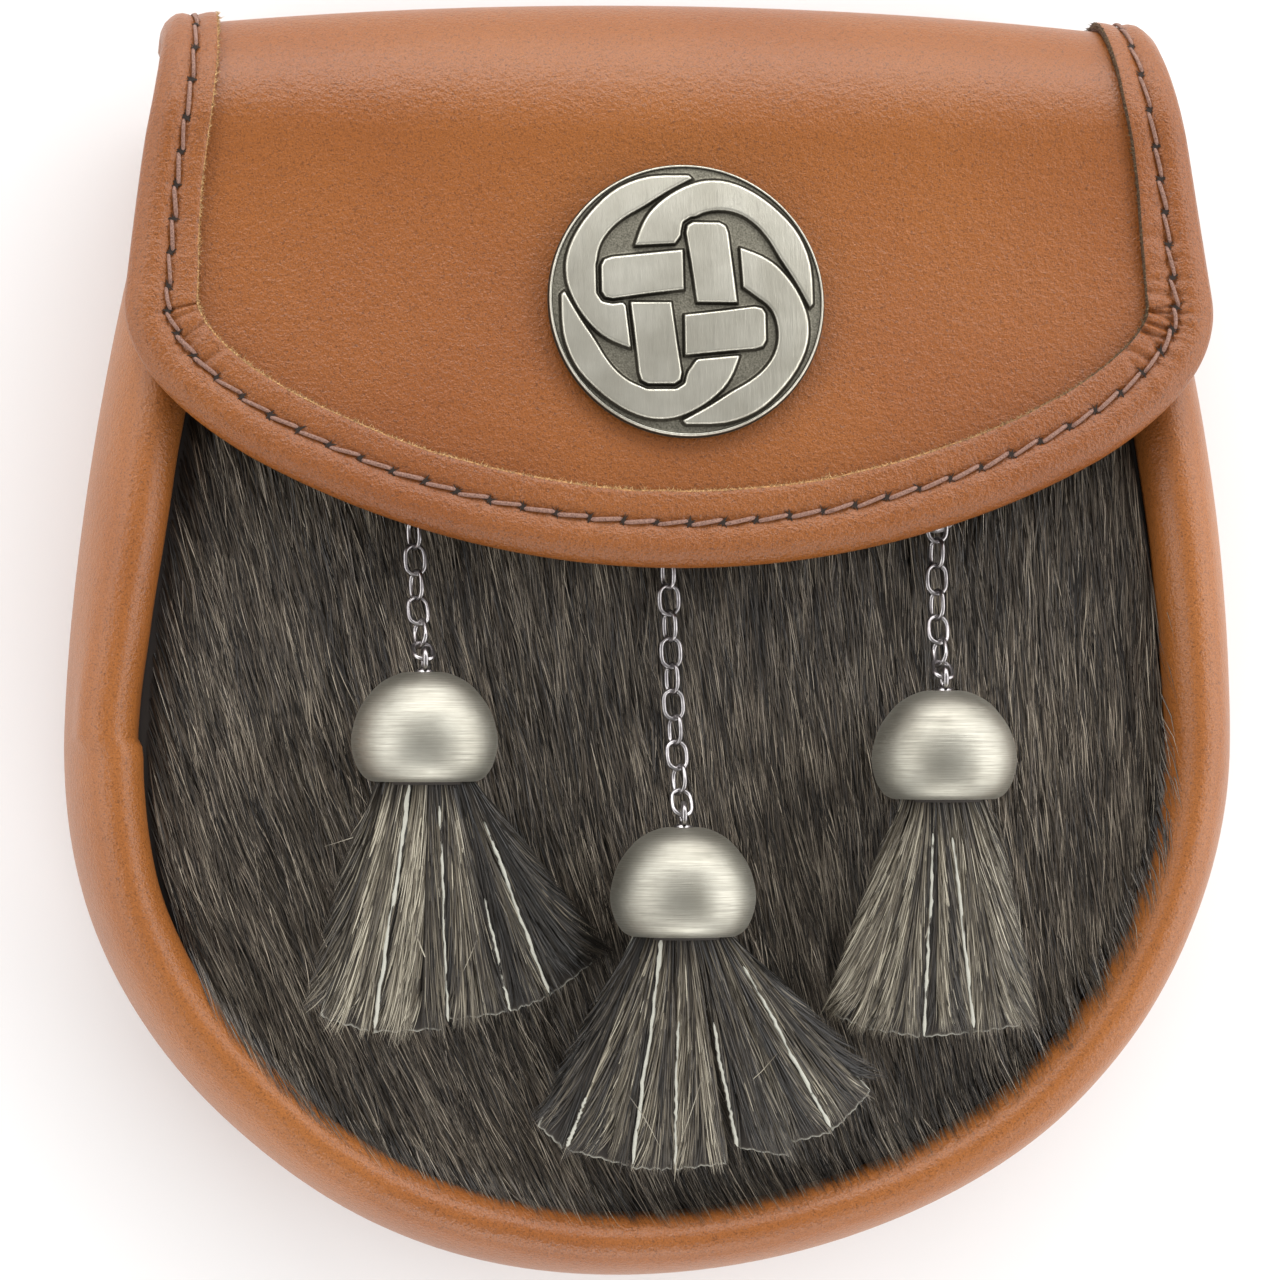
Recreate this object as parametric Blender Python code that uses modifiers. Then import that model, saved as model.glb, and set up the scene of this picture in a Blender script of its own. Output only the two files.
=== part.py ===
"""Semi-dress sporran: a leather pouch with a furred front, a bound flap, a badge and three tassels.

Metres, +Z up. The pouch lies on its back: +X is its right as it is looked at, +Y its top, +Z its front.
The origin is on the floor under the middle of its length and width.
"""

import math

import bmesh
import bpy
from mathutils import Matrix, Vector

# Clearance between pieces that touch
GAP = 0.0003

# Pouch: the outline of its rolled gusset, and its depth from the back to the roll's crest
POUCH_WIDTH = 0.1636
POUCH_LENGTH = 0.178
WIDEST_Y = -0.0150
MOUTH_Y = 0.0785
MOUTH_WIDTH = 0.134
BELLY_DEPTH = 0.036
MOUTH_DEPTH = 0.028
TAPER_START_Y = 0.010
BOTTOM_FULLNESS = 2.03
SIDE_TAPER = 1.75
# It isn't quite even: its mouth stands to the right of its widest line, and its bottom hangs to the left.
SWAY_TOP = 0.0014
SWAY_BELOW = 0.0006
SWAY_BELOW_RUN = 0.030
SWAY_TIP = 0.0036
SWAY_TIP_Y = -0.066

# Gusset: one strip of leather, rolled forward round the front
GUSSET_WALL = 0.0018
ROLL_WIDTH_TOP = 0.0118
ROLL_WIDTH_BOTTOM = 0.0094
MOUTH_GATHER = 0.38
# Its section. Inward is a share of the roll's width from the outline, height a share of the way
# from the back panel up to the crest.
GUSSET_SECTION = (
    {"inward": 1.00, "height": 0.760},
    {"inward": 0.96, "height": 0.900},
    {"inward": 0.79, "height": 0.978},
    {"inward": 0.56, "height": 1.000},
    {"inward": 0.29, "height": 0.945},
    {"inward": 0.09, "height": 0.780},
    {"inward": 0.00, "height": 0.540},
    {"inward": 0.04, "height": 0.270},
    {"inward": 0.17, "height": 0.080},
    {"inward": 0.36, "height": 0.000},
    {"inward": 0.80, "height": 0.000},
)
SIDE_STATIONS = 7
BOTTOM_STATIONS = 21

# Back panel, with the slots that the belt strap threads through
BACK_WALL = 0.0024
BACK_INSET = 0.0026
BACK_TOP_Y = 0.074
STRAP_WIDTH = 0.025
SLOT_WIDTH = 0.005
SLOT_END_ROOM = 0.0015
SLOT_Y = 0.040
SLOT_PAIR_X = 0.040
SLOT_PITCH = 0.022
SLOT_END_POINTS = 6

# Front panel: hide with its hair on
HIDE_WALL = 0.0016
PANEL_TOP_Y = 0.066
PANEL_TUCK = 0.0020
PANEL_DOME = 0.0012
PANEL_CENTRE_Y = -0.010
PILE = 0.0020
PILE_EDGE = 0.0025
LOCK_LENGTH = 0.013
LOCK_WIDTH = 0.009
LOCK_DEPTH = 0.0011
PANEL_SIDE_STATIONS = 7
PANEL_BOTTOM_STATIONS = 21
PANEL_TOP_STATIONS = 8
PANEL_RINGS = 8

# Flap: from a tail sewn inside the back, over the top and down the front
FLAP_WALL = 0.0024
FLAP_WIDTH = 0.1514
FLAP_TOP_WIDTH = 0.1450
FLAP_BACK_WIDTH = 0.1395
FLAP_WIDEST_Y = 0.047
FLAP_BOTTOM_Y = 0.0095
FLAP_BOTTOM_RADIUS = 0.121
FLAP_CORNER = 0.0160
FLAP_FLARE = 0.0014
FLAP_SPREAD = 0.9
FLAP_CROWN = 0.0015
BEND_Y = 0.070
TOP_ARCH = 0.0044
FLAP_TOP_Y = 0.0886
FLAP_X = 0.0014
TAIL_WIDTH = 0.112
TAIL_LENGTH = 0.014
TAIL_TURN = math.radians(-50)
FLAP_COLUMNS = 8
BEND_STEPS = 9
FLAP_SIDE_STEPS = 6
FLAP_CORNER_STEPS = 4
FLAP_BOTTOM_STEPS = 10
EDGE_SHARE = 0.12

# Binding: a strip folded over the flap's edge
BINDING_WALL = 0.0012
BINDING_WIDTH = 0.0098
BINDING_TURN_IN = 0.0085
BINDING_TURN = math.radians(-30)
# Its width against BINDING_WIDTH: it narrows towards the top of the flap. y is a share of half the
# pouch's length.
BINDING_TAPER = (
    {"y": 0.112, "share": 0.93},
    {"y": 0.528, "share": 0.86},
    {"y": 0.708, "share": 0.73},
    {"y": 0.966, "share": 0.65},
)
FLAP_CLEARANCE = 0.0007

# Badge
BADGE_DIAMETER = 0.0384
BADGE_X = 0.0025
BADGE_Y = 0.0461
BADGE_WALL = 0.0014
BADGE_DOME = 0.0011
KNOT_RELIEF = 0.0008
BADGE_SIDES = 32
# One arm of the four-armed knot. Shares of the badge's radius: the bar that crosses the middle,
KNOT_BAR = (
    {"along": 0.00, "left": -0.385, "right": -0.092},
    {"along": -0.30, "left": -0.354, "right": -0.056},
    {"along": -0.51, "left": -0.334, "right": -0.026},
    {"along": -0.59, "left": -0.270, "right": -0.078},
)
# The bars' crossing is cast a little off the badge's middle.
KNOT_BAR_SHIFT = (-0.03, -0.03)
# and the band that sweeps on from it round the rim, as its outer and inner edge.
KNOT_BAND = (
    {"outer_x": -0.375, "outer_y": 0.385, "inner_x": -0.085, "inner_y": 0.400},
    {"outer_x": -0.318, "outer_y": 0.538, "inner_x": -0.030, "inner_y": 0.475},
    {"outer_x": -0.240, "outer_y": 0.655, "inner_x": 0.055, "inner_y": 0.585},
    {"outer_x": -0.110, "outer_y": 0.765, "inner_x": 0.150, "inner_y": 0.635},
    {"outer_x": 0.030, "outer_y": 0.838, "inner_x": 0.280, "inner_y": 0.648},
    {"outer_x": 0.160, "outer_y": 0.872, "inner_x": 0.405, "inner_y": 0.615},
    {"outer_x": 0.320, "outer_y": 0.862, "inner_x": 0.515, "inner_y": 0.535},
    {"outer_x": 0.500, "outer_y": 0.785, "inner_x": 0.600, "inner_y": 0.430},
    {"outer_x": 0.680, "outer_y": 0.645, "inner_x": 0.676, "inner_y": 0.300},
    {"outer_x": 0.820, "outer_y": 0.475, "inner_x": 0.772, "inner_y": 0.150},
    {"outer_x": 0.900, "outer_y": 0.250, "inner_x": 0.850, "inner_y": 0.010},
    {"outer_x": 0.910, "outer_y": -0.030, "inner_x": 0.884, "inner_y": -0.055},
)
KNOT_ARMS = 4

# Press stud under the flap, behind the badge
STUD_DIAMETER = 0.012
STUD_SIDES = 16

# Chains
WIRE_RADIUS = 0.000325
LINK_LENGTH = 0.0047
LINK_WIDTH = 0.0034
LINK_FUSE = 0.00012
LINK_SIDES = 10
WIRE_SIDES = 5
CHAIN_RISE_POWER = 3.0

# Eyes that the chains hang from, each a ring on a small plate
EYE_RADIUS = 0.0021
EYE_WIRE_RADIUS = 0.0004
EYE_PLATE_RADIUS = 0.0034
EYE_PLATE = 0.0007
EYE_SIDES = 10

# Bell caps
CAP_DIAMETER = 0.0200
CAP_HEIGHT = 0.0149
CAP_WALL = 0.0010
CAP_HOLE_RADIUS = 0.0016
CAP_SIDES = 16
# The bell's outside, from its mouth up. Radius is a share of its radius, height of its height.
CAP_PROFILE = (
    {"radius": 0.72, "height": 0.00},
    {"radius": 0.84, "height": 0.05},
    {"radius": 0.95, "height": 0.18},
    {"radius": 1.00, "height": 0.38},
    {"radius": 0.91, "height": 0.63},
    {"radius": 0.72, "height": 0.82},
    {"radius": 0.55, "height": 0.92},
)

# Pins through the caps
RING_RADIUS = 0.0016
RING_WIRE_RADIUS = 0.0004
WASHER_RADIUS = 0.0030
WASHER_THICKNESS = 0.0008
PIN_SIDES = 10

# Fringes: strips of furred hide on a head inside the cap
HEAD_RADIUS = 0.0056
HEAD_LENGTH = 0.009
HEAD_SIDES = 12
STRIP_THICKNESS = 0.0018
STRIP_SINK = 0.0020
STRIP_START = 0.62
STRIP_STEPS = 3
STRIP_SPREAD = 0.52
STRIP_LAYER = 0.7
STRIP_LEVEL = 0.3
STRIP_DROOP = 1.5
STRIP_LIFT = 3.0
HEAD_HELD = 0.9
FRINGE_LENGTH = 0.0325
# The tassels. The number of links is odd, so that the first and last lie flat in their rings. Mouth is
# the middle of the cap's mouth, as shares of half the pouch's width and length. Lean is how far the
# chain's upper end stands to the right, as a share of the cap's diameter, and length is the strips'
# length below the mouth, as a share of FRINGE_LENGTH.
# The strips fan from one angle to the other, from straight down, to the right where positive.
TASSELS = (
    {"side": "left", "mouth_x": -0.4144, "mouth_y": -0.2202, "links": 7, "lean": -0.040,
     "length": 1.03, "fan_from": -18, "fan_to": 39, "strips": 8},
    {"side": "middle", "mouth_x": 0.0208, "mouth_y": -0.4596, "links": 11, "lean": -0.055,
     "length": 0.97, "fan_from": -31, "fan_to": 50, "strips": 9},
    {"side": "right", "mouth_x": 0.4645, "mouth_y": -0.2494, "links": 7, "lean": 0.025,
     "length": 1.00, "fan_from": -21, "fan_to": 18, "strips": 7},
)

# Finishes: base colour, roughness, metallic
FINISHES = {
    "tan_leather": ((0.42, 0.17, 0.065), 0.5, 0.0),
    "dark_fur": ((0.055, 0.047, 0.040), 0.8, 0.0),
    "fringe_fur": ((0.16, 0.15, 0.13), 0.8, 0.0),
    "pewter": ((0.50, 0.49, 0.44), 0.35, 1.0),
    "steel": ((0.45, 0.43, 0.43), 0.25, 1.0),
}


# Scene

def clear_scene():
    for old in list(bpy.data.objects):
        bpy.data.objects.remove(old)


def new_collection(name):
    collection = bpy.data.collections.new(name)
    bpy.context.scene.collection.children.link(collection)
    return collection


def finish_of(name):
    found = bpy.data.materials.get(name)
    if found:
        return found
    colour, roughness, metallic = FINISHES[name]
    made = bpy.data.materials.new(name)
    made.use_nodes = True
    shader = made.node_tree.nodes["Principled BSDF"]
    shader.inputs["Base Color"].default_value = (*colour, 1.0)
    shader.inputs["Roughness"].default_value = roughness
    shader.inputs["Metallic"].default_value = metallic
    return made


def add_object(name, data, finish, collection):
    data.name = name
    data.materials.clear()
    data.materials.append(finish_of(finish))
    made = bpy.data.objects.new(name, data)
    collection.objects.link(made)
    return made


def mesh_from(points, faces):
    mesh = bpy.data.meshes.new("surface")
    mesh.from_pydata([tuple(p) for p in points], [], faces)
    mesh.shade_smooth()
    return mesh


def facing_out(mesh):
    """The same closed mesh with its faces turned outwards."""
    editable = bmesh.new()
    editable.from_mesh(mesh)
    bmesh.ops.recalc_face_normals(editable, faces=editable.faces)
    editable.to_mesh(mesh)
    editable.free()
    return mesh


def grid_faces(rows, columns, around=False):
    """Quads of a grid of rows by columns of points. Around joins the last column to the first."""
    steps = columns if around else columns - 1
    return [
        (row * columns + step, row * columns + (step + 1) % columns,
         (row + 1) * columns + (step + 1) % columns, (row + 1) * columns + step)
        for row in range(rows - 1)
        for step in range(steps)
    ]


def loft(rings):
    """A closed mesh through rings with as many points each, its first and last ring filled."""
    count = len(rings[0])
    points = [p for ring in rings for p in ring]
    faces = grid_faces(len(rings), count, around=True)
    for ring in (0, len(rings) - 1):
        middle = sum((Vector(p) for p in rings[ring]), Vector()) / count
        points.append(middle)
        first = ring * count
        faces += [(first + i, first + (i + 1) % count, len(points) - 1) for i in range(count)]
    return facing_out(mesh_from(points, faces))


def solidify(item, wall, side):
    """Gives an open sheet its wall. Side is -1 behind the faces, 0 on both sides."""
    modifier = item.modifiers.new("wall", "SOLIDIFY")
    modifier.thickness = wall
    modifier.offset = side
    modifier.use_even_offset = True
    return item


def fuse(base, others):
    """Joins closed pieces into base for good."""
    for other in others:
        modifier = base.modifiers.new("join", "BOOLEAN")
        modifier.operation = "UNION"
        modifier.object = other
    bpy.context.view_layer.update()
    graph = bpy.context.evaluated_depsgraph_get()
    joined = bpy.data.meshes.new_from_object(base.evaluated_get(graph))
    base.modifiers.clear()
    base.data = joined
    for other in others:
        bpy.data.objects.remove(other)
    return base


def roll_width_at(y):
    """The roll is widest at the mouth and slimmest round the bottom."""
    share = (y + POUCH_LENGTH / 2) / (MOUTH_Y + POUCH_LENGTH / 2)
    return ROLL_WIDTH_BOTTOM + (ROLL_WIDTH_TOP - ROLL_WIDTH_BOTTOM) * share


def smoothstep(share):
    share = min(1.0, max(0.0, share))
    return share * share * (3 - 2 * share)


# The pouch's outline and depth

def half_width_at(y):
    """Half the pouch's width above its widest line."""
    share = (y - WIDEST_Y) / (MOUTH_Y - WIDEST_Y)
    return POUCH_WIDTH / 2 - (POUCH_WIDTH - MOUTH_WIDTH) / 2 * share ** SIDE_TAPER


def sway_at(y):
    """How far the pouch's middle line stands to the right."""
    if y > WIDEST_Y:
        return SWAY_TOP * (y - WIDEST_Y) / (MOUTH_Y - WIDEST_Y)
    tip = max(0.0, (SWAY_TIP_Y - y) / (SWAY_TIP_Y + POUCH_LENGTH / 2))
    return -SWAY_BELOW * smoothstep((WIDEST_Y - y) / SWAY_BELOW_RUN) - SWAY_TIP * tip ** 2


def outline(top_y, side_stations, bottom_stations):
    """Points of the U-shaped outline with their inward normals, from the left top round to the right."""
    below = WIDEST_Y + POUCH_LENGTH / 2
    side = []
    for i in range(side_stations):
        y = top_y + (WIDEST_Y - top_y) * i / side_stations
        side.append(Vector((-half_width_at(y), y)))
    points = list(side)
    for i in range(bottom_stations + 1):
        angle = math.pi * i / bottom_stations - math.pi / 2
        across, down = math.sin(angle), max(0.0, math.cos(angle))
        points.append(Vector((
            POUCH_WIDTH / 2 * math.copysign(abs(across) ** (2 / BOTTOM_FULLNESS), across),
            WIDEST_Y - below * down ** (2 / BOTTOM_FULLNESS),
        )))
    points += [Vector((-p.x, p.y)) for p in reversed(side)]
    points = [Vector((p.x + sway_at(p.y), p.y)) for p in points]
    stations = []
    for i, point in enumerate(points):
        tangent = points[min(i + 1, len(points) - 1)] - points[max(i - 1, 0)]
        stations.append((point, Vector((-tangent.y, tangent.x)).normalized()))
    return stations


def depth_at(y):
    """From the back to the roll's crest: the pouch narrows towards its mouth."""
    share = (y - TAPER_START_Y) / (BEND_Y - TAPER_START_Y)
    return BELLY_DEPTH - (BELLY_DEPTH - MOUTH_DEPTH) * smoothstep(share)


def above_back(y, share):
    """Height at a share of the way from the back panel's inside to the roll's crest."""
    floor = BACK_WALL + GAP
    return floor + (depth_at(y) - floor) * share


def flap_front_z(y):
    """Height of the middle of the flap's leather, which lies over the roll with its binding."""
    return depth_at(y) + FLAP_CLEARANCE + BINDING_WALL + GAP + FLAP_WALL / 2


TAIL_Z = BACK_WALL + GAP + FLAP_WALL / 2
BEND_CENTRE_Z = (TAIL_Z + flap_front_z(BEND_Y)) / 2
BEND_HALF_DEPTH = (flap_front_z(BEND_Y) - TAIL_Z) / 2
BEND_REACH = FLAP_TOP_Y - FLAP_WALL / 2 - BEND_Y


def gusset_z(y, height, station_y):
    """Height on the gusset: its ends are gathered in under the flap's bend."""
    z = above_back(y, height)
    pull = max(0.0, (station_y - BEND_Y) / (MOUTH_Y - BEND_Y)) ** 2
    middle = above_back(y, 0.5)
    return z + pull * (BEND_CENTRE_Z + (z - middle) * (1 - MOUTH_GATHER) - z)


def seam_z(y):
    """Top of the hide where the gusset's front edge is sewn down on it."""
    return above_back(y, GUSSET_SECTION[0]["height"]) - GAP


def hide_z(x, y):
    """Outside of the front panel's hide, a low dome that dies out before the seam."""
    across = x / (POUCH_WIDTH / 2 - ROLL_WIDTH_TOP - PANEL_TUCK)
    along = (y - PANEL_CENTRE_Y) / (POUCH_LENGTH / 2 + PANEL_CENTRE_Y - ROLL_WIDTH_TOP - PANEL_TUCK)
    return seam_z(y) + PANEL_DOME * max(0.0, 1 - across ** 2 - along ** 2)


# Pouch

def gusset(collection):
    points = []
    stations = outline(MOUTH_Y, SIDE_STATIONS, BOTTOM_STATIONS)
    for point, inward in stations:
        for row in GUSSET_SECTION:
            place = point + inward * row["inward"] * roll_width_at(point.y)
            points.append((place.x, place.y, gusset_z(place.y, row["height"], point.y)))
    mesh = mesh_from(points, grid_faces(len(stations), len(GUSSET_SECTION)))
    return solidify(add_object("gusset", mesh, "tan_leather", collection), GUSSET_WALL, -1)


def closed_spline(curve, points):
    line = curve.splines.new("POLY")
    line.points.add(len(points) - 1)
    for corner, point in zip(line.points, points):
        corner.co = (point[0], point[1], 0, 1)
    line.use_cyclic_u = True


def slot_outline(x):
    """A belt slot with round ends, its length along Y."""
    half = STRAP_WIDTH / 2 + SLOT_END_ROOM - SLOT_WIDTH / 2
    points = []
    for end, start in ((1, 0.0), (-1, math.pi)):
        for i in range(SLOT_END_POINTS + 1):
            angle = start + math.pi * i / SLOT_END_POINTS
            points.append((x + SLOT_WIDTH / 2 * math.cos(angle),
                           SLOT_Y + end * half + SLOT_WIDTH / 2 * math.sin(angle)))
    return points


def back_panel(collection):
    curve = bpy.data.curves.new("back", "CURVE")
    curve.dimensions = "2D"
    curve.fill_mode = "BOTH"
    curve.extrude = BACK_WALL / 2
    edge = [point + inward * BACK_INSET
            for point, inward in outline(BACK_TOP_Y, PANEL_SIDE_STATIONS, PANEL_BOTTOM_STATIONS)]
    closed_spline(curve, edge)
    for side in (-1, 1):
        for half in (-1, 1):
            closed_spline(curve, slot_outline(side * SLOT_PAIR_X + half * SLOT_PITCH / 2))
    item = add_object("back_panel", curve, "tan_leather", collection)
    item.location.z = BACK_WALL / 2
    return item


def panel_edge(past, top_y):
    """The front panel's closed outline, this far past the roll's inner edge, with a straight top."""
    sides = [point + inward * (roll_width_at(point.y) + past)
             for point, inward in outline(top_y, PANEL_SIDE_STATIONS, PANEL_BOTTOM_STATIONS)]
    start, end = sides[-1], sides[0]
    top = [start.lerp(end, i / PANEL_TOP_STATIONS) for i in range(1, PANEL_TOP_STATIONS)]
    return sides + top


def pile_height(x, y):
    """Height of the hair over the hide: overlapping locks whose tips point down the pouch."""
    column = math.floor(x / LOCK_WIDTH)
    along = -y / LOCK_LENGTH + 0.5 * (column % 2)
    across = x / LOCK_WIDTH - column
    ramp = along - math.floor(along)
    return PILE - LOCK_DEPTH * (1 - ramp * math.sin(math.pi * across))


def fur_panel(collection):
    centre = Vector((0.0, PANEL_CENTRE_Y))
    rim = panel_edge(-GUSSET_WALL - PANEL_TUCK, PANEL_TOP_Y)
    shore = panel_edge(GAP, PANEL_TOP_Y - GAP)
    pile_rim = panel_edge(PILE_EDGE, PANEL_TOP_Y - PILE_EDGE)
    rings = []
    for share in (0.3, 0.7, 1.0):
        ring = [centre.lerp(p, share) for p in rim]
        rings.append([(p.x, p.y, hide_z(p.x, p.y) - HIDE_WALL) for p in ring])
    rings.append([(p.x, p.y, hide_z(p.x, p.y)) for p in rim])
    rings.append([(p.x, p.y, hide_z(p.x, p.y)) for p in shore])
    for step in range(PANEL_RINGS):
        ring = [p.lerp(centre, step / PANEL_RINGS) for p in pile_rim]
        rings.append([(p.x, p.y, hide_z(p.x, p.y) + pile_height(p.x, p.y)) for p in ring])
    return add_object("fur_panel", loft(rings), "dark_fur", collection)


# Flap

def binding_reach():
    """How far the binding's fold stands out past the leather's edge."""
    return GAP + BINDING_WALL


def flap_bottom_y(x):
    radius = FLAP_BOTTOM_RADIUS
    return FLAP_BOTTOM_Y + binding_reach() + radius - math.sqrt(radius ** 2 - x ** 2)


def flap_rows():
    """Rows of the flap's leather from its tail to its lower edge: y, z and half width."""
    top = FLAP_TOP_WIDTH / 2 - binding_reach()
    back = FLAP_BACK_WIDTH / 2 - binding_reach()
    widest = FLAP_WIDTH / 2 - binding_reach()
    rows = [(BEND_Y - TAIL_LENGTH, TAIL_Z, TAIL_WIDTH / 2)]
    for i in range(BEND_STEPS + 1):
        angle = math.pi * (i / BEND_STEPS - 0.5)
        narrow = 1 - smoothstep((angle + math.pi / 2) / (TAIL_TURN + math.pi / 2))
        y = BEND_Y + BEND_REACH * math.cos(angle)
        z = BEND_CENTRE_Z + BEND_HALF_DEPTH * math.sin(angle)
        half = back + (top - back) * (1 - math.cos(max(angle, 0.0)))
        rows.append((y, z, half + (TAIL_WIDTH / 2 - half) * narrow))
    for i in range(1, FLAP_SIDE_STEPS + 1):
        share = i / FLAP_SIDE_STEPS
        y = BEND_Y + (FLAP_WIDEST_Y - BEND_Y) * share
        rows.append((y, flap_front_z(y), top + (widest - top) * share ** FLAP_SPREAD))
    corner = Vector((widest + FLAP_FLARE, flap_bottom_y(widest)))
    start = Vector((widest, FLAP_WIDEST_Y))
    end = Vector((widest - FLAP_CORNER, flap_bottom_y(widest - FLAP_CORNER)))
    for i in range(1, FLAP_CORNER_STEPS + 1):
        share = i / FLAP_CORNER_STEPS
        place = start.lerp(corner, share).lerp(corner.lerp(end, share), share)
        rows.append((place.y, flap_front_z(place.y), place.x))
    for i in range(1, FLAP_BOTTOM_STEPS):
        x = end.x * math.cos(math.pi / 2 * i / FLAP_BOTTOM_STEPS)
        rows.append((flap_bottom_y(x), flap_front_z(flap_bottom_y(x)), x))
    return rows


def crown_at(x):
    """How far the front of the flap stands up over its sides."""
    return FLAP_CROWN * (1 - (x / (FLAP_WIDTH / 2)) ** 2)


def flap_place(row, share):
    """A point on the middle of the flap's leather, share from -1 at its left edge to 1 at its right."""
    y, z, half = row
    x = half * share
    bend = max(0.0, (y - BEND_Y) / BEND_REACH)
    front = 1 if z > BEND_CENTRE_Z else 0
    arch = TOP_ARCH * bend * (x / (FLAP_WIDTH / 2)) ** 2
    return Vector((x, y - arch, z + crown_at(x) * (1 - bend) * front))


def flap_tip():
    y = FLAP_BOTTOM_Y + binding_reach()
    return flap_place((y, flap_front_z(y), 0.0), 0.0)


def flap(collection):
    rows = flap_rows()
    points = [flap_place(row, 2 * i / FLAP_COLUMNS - 1)
              for row in rows for i in range(FLAP_COLUMNS + 1)]
    faces = grid_faces(len(rows), FLAP_COLUMNS + 1)
    points.append(flap_tip())
    first = (len(rows) - 1) * (FLAP_COLUMNS + 1)
    faces += [(first + i, first + i + 1, len(points) - 1) for i in range(FLAP_COLUMNS)]
    item = add_object("flap", mesh_from(points, faces), "tan_leather", collection)
    item.location.x = FLAP_X
    return solidify(item, FLAP_WALL, 0)


def binding_section():
    """The folded strip in section: inward from the leather's edge, and out along its normal."""
    inner = FLAP_WALL / 2 + GAP
    outer = inner + BINDING_WALL
    reach = binding_reach()
    fold = [(-reach * math.cos(turn), outer * math.sin(turn))
            for turn in (math.radians(a) for a in (50, 0, -50))]
    return [(BINDING_WIDTH, inner), (BINDING_WIDTH, outer), (BINDING_WALL / 2, outer), *fold,
            (BINDING_WALL / 2, -outer), (BINDING_TURN_IN, -outer), (BINDING_TURN_IN, -inner),
            (-GAP, -inner), (-GAP, inner)]


def across_row(row):
    """Direction along one of the flap's rows, inward from its left end."""
    return (flap_place(row, EDGE_SHARE - 1) - flap_place(row, -1)).normalized()


def flap_normal(rows, i):
    """Outward normal of the flap's leather at the left end of one of its rows."""
    x = -rows[i][2]
    before, after = rows[max(i - 1, 0)], rows[min(i + 1, len(rows) - 1)]
    along = flap_place(after, x / after[2]) - flap_place(before, x / before[2])
    return along.cross(across_row(rows[i])).normalized()


def mirrored(vector):
    return Vector((-vector.x, vector.y, vector.z))


def flap_edge():
    """Stations along the flap's bound edge, from the left top round to the right: place, inward, normal."""
    rows = flap_rows()
    start_z = BEND_CENTRE_Z + BEND_HALF_DEPTH * math.sin(BINDING_TURN) - GAP
    bound = [i for i in range(1, len(rows)) if rows[i][1] > start_z]
    left = [(flap_place(rows[i], -1), across_row(rows[i]), flap_normal(rows, i)) for i in bound]
    tip_normal = flap_normal(rows, bound[-1])
    tip_normal.x = 0
    edge = left + [(flap_tip(), Vector((0, 1, 0)), tip_normal.normalized())]
    edge += [tuple(mirrored(vector) for vector in station) for station in reversed(left)]
    stations = []
    for i, (place, inward, normal) in enumerate(edge):
        if place.y < BEND_Y:
            tangent = edge[min(i + 1, len(edge) - 1)][0] - edge[max(i - 1, 0)][0]
            inward = normal.cross(tangent).normalized()
        stations.append((place, inward, normal))
    return stations


def on_flap(place, inward, distance):
    """The point of the flap's middle surface this far inward from a place on its edge."""
    point = place + inward * distance
    if place.y < BEND_Y:
        point.z = flap_front_z(point.y) + crown_at(point.x)
    return point


def binding_share(y):
    """How wide the strip is at this height on the flap, against BINDING_WIDTH."""
    y = y / (POUCH_LENGTH / 2)
    for low, high in zip(BINDING_TAPER, BINDING_TAPER[1:]):
        if y < high["y"]:
            t = max(0.0, (y - low["y"]) / (high["y"] - low["y"]))
            return low["share"] + (high["share"] - low["share"]) * t
    return BINDING_TAPER[-1]["share"]


def flap_binding(collection):
    section = binding_section()
    rings = []
    for place, inward, normal in flap_edge():
        share = binding_share(place.y)
        rings.append([on_flap(place, inward, a * share if a > BINDING_WALL else a) + normal * b
                      for a, b in section])
    count = len(section)
    points = [p for ring in rings for p in ring]
    faces = grid_faces(len(rings), count, around=True)
    faces += [tuple(range(count)), tuple(range(len(points) - count, len(points)))]
    mesh = facing_out(mesh_from(points, faces))
    item = add_object("flap_binding", mesh, "tan_leather", collection)
    item.location.x = FLAP_X
    return item


# Badge and stud

def badge_frame():
    """The badge's place on the flap's outside, tilted as the flap is there."""
    step = BADGE_DIAMETER / 2
    rise = flap_front_z(BADGE_Y + step) - flap_front_z(BADGE_Y - step)
    tilt = math.atan2(rise, 2 * step)
    crown = crown_at(BADGE_X - FLAP_X)
    lift = FLAP_WALL / 2 / math.cos(tilt) + GAP
    bow = max(flap_front_z(BADGE_Y + k * step / 4) - flap_front_z(BADGE_Y)
              - rise * k / 8 for k in range(-4, 5))
    z = flap_front_z(BADGE_Y) + crown + lift + bow
    return Matrix.Translation((BADGE_X, BADGE_Y, z)) @ Matrix.Rotation(tilt, 4, "X")


def badge_top(radius_share):
    """Height of the badge's ground above its back."""
    return BADGE_WALL + BADGE_DOME * (1 - radius_share ** 2)


def knot_outlines():
    """Closed outlines of the knot's bars and bands, in shares of the badge's radius."""
    bar = [Vector((row["left"], row["along"])) for row in KNOT_BAR]
    bar += [Vector((row["right"], row["along"])) for row in reversed(KNOT_BAR)]
    outer = [Vector((row["outer_x"], row["outer_y"])) for row in KNOT_BAND]
    inner = [Vector((row["inner_x"], row["inner_y"])) for row in KNOT_BAND]
    band = outer + inner[::-1]
    for arm in range(KNOT_ARMS):
        turn = Matrix.Rotation(-2 * math.pi * arm / KNOT_ARMS, 2)
        yield [turn @ point + Vector(KNOT_BAR_SHIFT) for point in bar]
        yield [turn @ point for point in band]


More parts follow.
